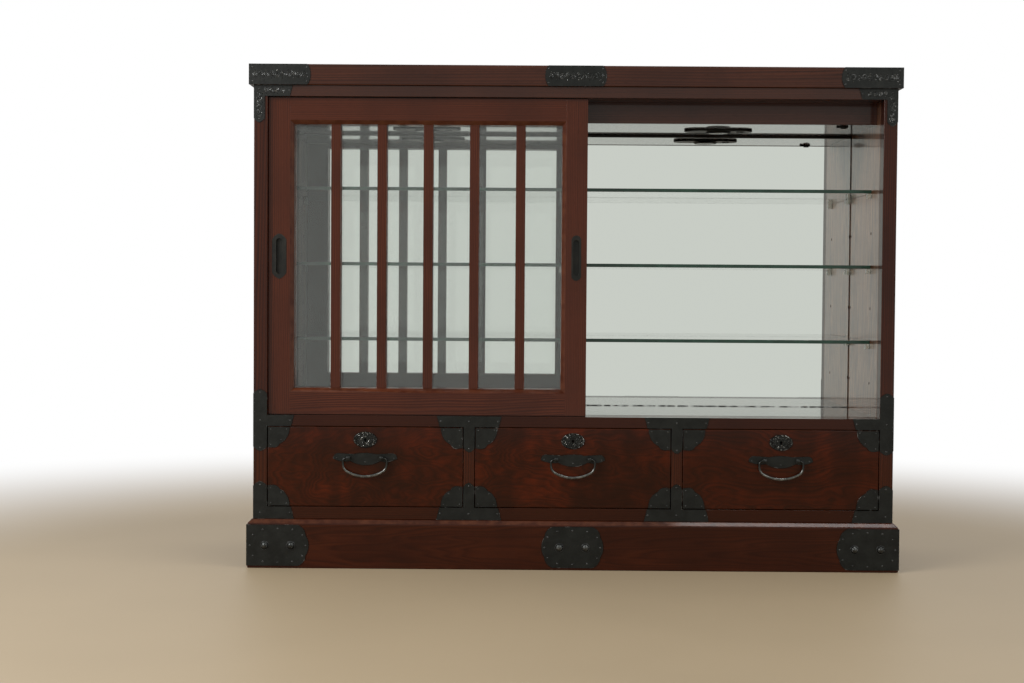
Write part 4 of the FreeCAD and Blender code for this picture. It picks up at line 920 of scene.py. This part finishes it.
for side, centre in drawerCentres.items():
    detail = lockRelief(centre) + [drawerNails(centre)]
    detail.append(plateRims("drawerRims", [side + "_drawer_irons"], plates["lock"], (centre, lock["up"])))
    added(gathered(side + "DrawerDetail", detail), side + "_drawer")
    hung = gathered(side + "Bail", [rods("bail", [bailLine(centre)], bail["line"], 14, "bailIron")])
    added(hung, side + "_drawer_bail")
    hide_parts(side + "_drawer_bail")
print("drawer fittings finished")

# dovetails of each drawer: tails of the sides run into the front, pins of the back show on the sides
dovetail = {
    "count": 5, "margin": 9, "wide": 19, "waist": 11, "sunk": 0.6, "proud": 0.12, "tail": 13, "pin": 12,
}


def wedges(name, finish, outers, start, reach, levels):
    wide, waist = dovetail["wide"] / 2, dovetail["waist"] / 2
    shape = bmesh.new()
    for outer, sign in outers:
        for level in levels:
            outline = [(start, level - waist), (start + reach, level - wide), (start + reach, level + wide),
                       (start, level + waist)]
            inner, outerRing = [
                [shape.verts.new(Vector((outer + sign * out, depth, up)) * mm) for depth, up in outline]
                for out in (-dovetail["sunk"], dovetail["proud"])]
            shape.faces.new(inner)
            shape.faces.new(outerRing)
            for k in range(4):
                shape.faces.new((inner[k], inner[k - 1], outerRing[k - 1], outerRing[k]))
    bmesh.ops.recalc_face_normals(shape, faces=shape.faces)
    return plainMesh(name, shape, finish)


for side in drawerCentres:
    low, high = [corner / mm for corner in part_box(side + "_drawer_sides")]
    step = (high.z - low.z - 2 * dovetail["margin"]) / dovetail["count"]
    levels = [low.z + dovetail["margin"] + step * (k + 0.5) for k in range(dovetail["count"])]
    outers = ((low.x, -1), (high.x, 1))
    tails = wedges("tails", finishes["paleDeep"], outers, low.y, -dovetail["tail"], levels)
    pins = wedges("pins", finishes["endGrain"], outers, high.y, -dovetail["pin"], levels)
    added(gathered(side + "Dovetails", [tails, pins]), side + "_drawer")
print("dovetails cut")

# lens and ring under each lamp head
lamp = {
    "across": 353.25, "back": 52.5, "up": 1026.0, "lens": 24.5, "sunk": 0.4, "dish": 1.0, "ribs": 14,
    "ribRise": 0.25, "lensSteps": 36, "ring": 26.6, "ringLine": (0.9, 0.9), "ringSteps": 40,
}


def turned(profile, centre, steps, finish):
    shape = bmesh.new()
    across, back, base = centre
    rings = [[(across + radius * math.cos(a), back + radius * math.sin(a), base + up) for a in around(steps)]
             for radius, up in profile]
    rings = [[shape.verts.new(Vector(spot) * mm) for spot in ring] for ring in rings]
    for lower, upper in zip(rings, rings[1:]):
        for k in range(steps):
            shape.faces.new((lower[k], lower[(k + 1) % steps], upper[(k + 1) % steps], upper[k]))
    shape.faces.new(rings[0])
    shape.faces.new(rings[-1])
    bmesh.ops.recalc_face_normals(shape, faces=shape.faces)
    for face in shape.faces:
        face.smooth = len(face.verts) == 4
    return plainMesh("turned", shape, finish)


def lampLenses():
    profile = [(lamp["lens"], lamp["sunk"])]
    for k in range(lamp["ribs"]):
        share = 1 - k / lamp["ribs"]
        profile.append((lamp["lens"] * share, -lamp["dish"] * (1 - share ** 2) - lamp["ribRise"] * (k % 2)))
    meshes = []
    for side in handed.values():
        across, back, up = centre = (side * lamp["across"], lamp["back"], lamp["up"])
        meshes.append(turned(profile, centre, lamp["lensSteps"], finishes["lens"]))
        ring = [(across + lamp["ring"] * math.cos(a), back + lamp["ring"] * math.sin(a), up)
                for a in around(lamp["ringSteps"])]
        meshes.append(rods("lampRing", [ring], lamp["ringLine"], 8, "black", True))
    added(gathered("lampLenses", meshes), "case")


lampLenses()
print("lamps finished")

# pale floor that runs out into the white studio, seen by camera, gloss and glass
studio = {
    "floor": (0.43, 0.335, 0.215), "patch": 1.4, "patchy": (0.3, 0.7), "patchTone": 0.95, "middle": (0, -0.3),
    "seenFade": (1.3, 3.1), "glossFade": (2.5, 3.9), "radius": 14.0, "white": (1.0, 1.0, 1.0),
    "room": (0.64, 0.66, 0.62), "wallFade": (-0.25, 0.35), "sky": 0.55,
}


def rayKinds(wire):
    path = wire.node("ShaderNodeLightPath").socket.node
    kinds = ("Is Camera Ray", "Is Glossy Ray", "Is Transmission Ray")
    return [Wire(wire.tree, path.outputs[kind]) for kind in kinds]


def studioFloor():
    finish, wire, place = newFinish("studioFloor")
    x, y = [part - middle for part, middle in zip(place.split(), studio["middle"])]
    away = (x * x + y * y) ** 0.5
    patchy = place.noise(studio["patch"], 3.0).between(*studio["patchy"])
    tone = patchy.blend(studio["floor"], tuple(part * studio["patchTone"] for part in studio["floor"]))
    near = wire.node("ShaderNodeBsdfPrincipled", None, {
        "Base Color": tone, "Roughness": 0.55, "Specular IOR Level": 0.3})
    seen, gloss, clear = rayKinds(wire)
    glow = wire.node("ShaderNodeEmission", None, {"Color": seen.blend(studio["room"], studio["white"])})
    far = seen * away.between(*studio["seenFade"]) + gloss.most(clear) * away.between(*studio["glossFade"])
    mixed = wire.node("ShaderNodeMixShader", None, {0: far, 1: near, 2: glow})
    wire.node("ShaderNodeOutputMaterial", None, {"Surface": mixed})
    shape = bmesh.new()
    bmesh.ops.create_circle(shape, cap_ends=True, radius=studio["radius"], segments=72)
    mesh = plainMesh("studioFloor", shape, finish)
    meshPiece("studioFloor", mesh)


def studioLight():
    world = bpy.data.worlds.new("studio")
    scene.world = world
    world.use_nodes = True
    world.node_tree.nodes.clear()
    wire = Wire(world.node_tree)
    y = wire.node("ShaderNodeTexCoord", out="Generated").split()[1]
    seen, gloss, clear = rayKinds(wire)
    bright = seen.most(y.between(*studio["wallFade"]))
    backdrop = wire.node("ShaderNodeBackground", None, {
        "Color": bright.blend(studio["room"], studio["white"]), "Strength": 1.0})
    soft = wire.node("ShaderNodeBackground", None, {
        "Color": (*studio["white"], 1), "Strength": studio["sky"]})
    mixed = wire.node("ShaderNodeMixShader", None, {0: seen.most(gloss).most(clear), 1: soft, 2: backdrop})
    wire.node("ShaderNodeOutputWorld", None, {"Surface": mixed})


lights = {
    "window": {"place": (-2.9, -2.6, 2.1), "aim": (0, 0, 0.6), "size": (2.2, 1.8), "power": 105},
    "fill": {"place": (2.8, -3.2, 2.4), "aim": (0, 0, 0.6), "size": (2.0, 2.0), "power": 26},
    "overhead": {"place": (1.0, -0.60, 3.0), "aim": (1.0, -0.59, 0.1), "size": (1.0, 0.3), "power": 9},
}


def placeLights():
    for name, own in lights.items():
        lampData = bpy.data.lights.new(name, "AREA")
        lampData.shape = "RECTANGLE"
        lampData.size, lampData.size_y = own["size"]
        lampData.energy = own["power"]
        piece = bpy.data.objects.new(name, lampData)
        scene.collection.objects.link(piece)
        aim = Vector(own["aim"]) - Vector(own["place"])
        turn = aim.to_track_quat("-Z", "Y").to_matrix().to_4x4()
        piece.matrix_world = Matrix.Translation(own["place"]) @ turn


# camera as the photograph was taken
shot = {
    "place": (-0.11805, -4.08956, 0.65223), "yaw": 0.00609, "pitch": -0.03254, "roll": -0.00692,
    "lens": 59.766, "sensor": 36,
}


def placeCamera():
    camera = bpy.data.objects.new("camera", bpy.data.cameras.new("camera"))
    camera.data.lens = shot["lens"]
    camera.data.sensor_width = shot["sensor"]
    scene.collection.objects.link(camera)
    turn = (Matrix.Rotation(shot["yaw"], 4, "Z") @ Matrix.Rotation(shot["pitch"], 4, "X")
            @ Matrix.Rotation(shot["roll"], 4, "Y") @ Matrix.Rotation(math.pi / 2, 4, "X"))
    camera.matrix_world = Matrix.Translation(shot["place"]) @ turn
    scene.camera = camera


studioFloor()
studioLight()
placeLights()
placeCamera()
print("studio set")
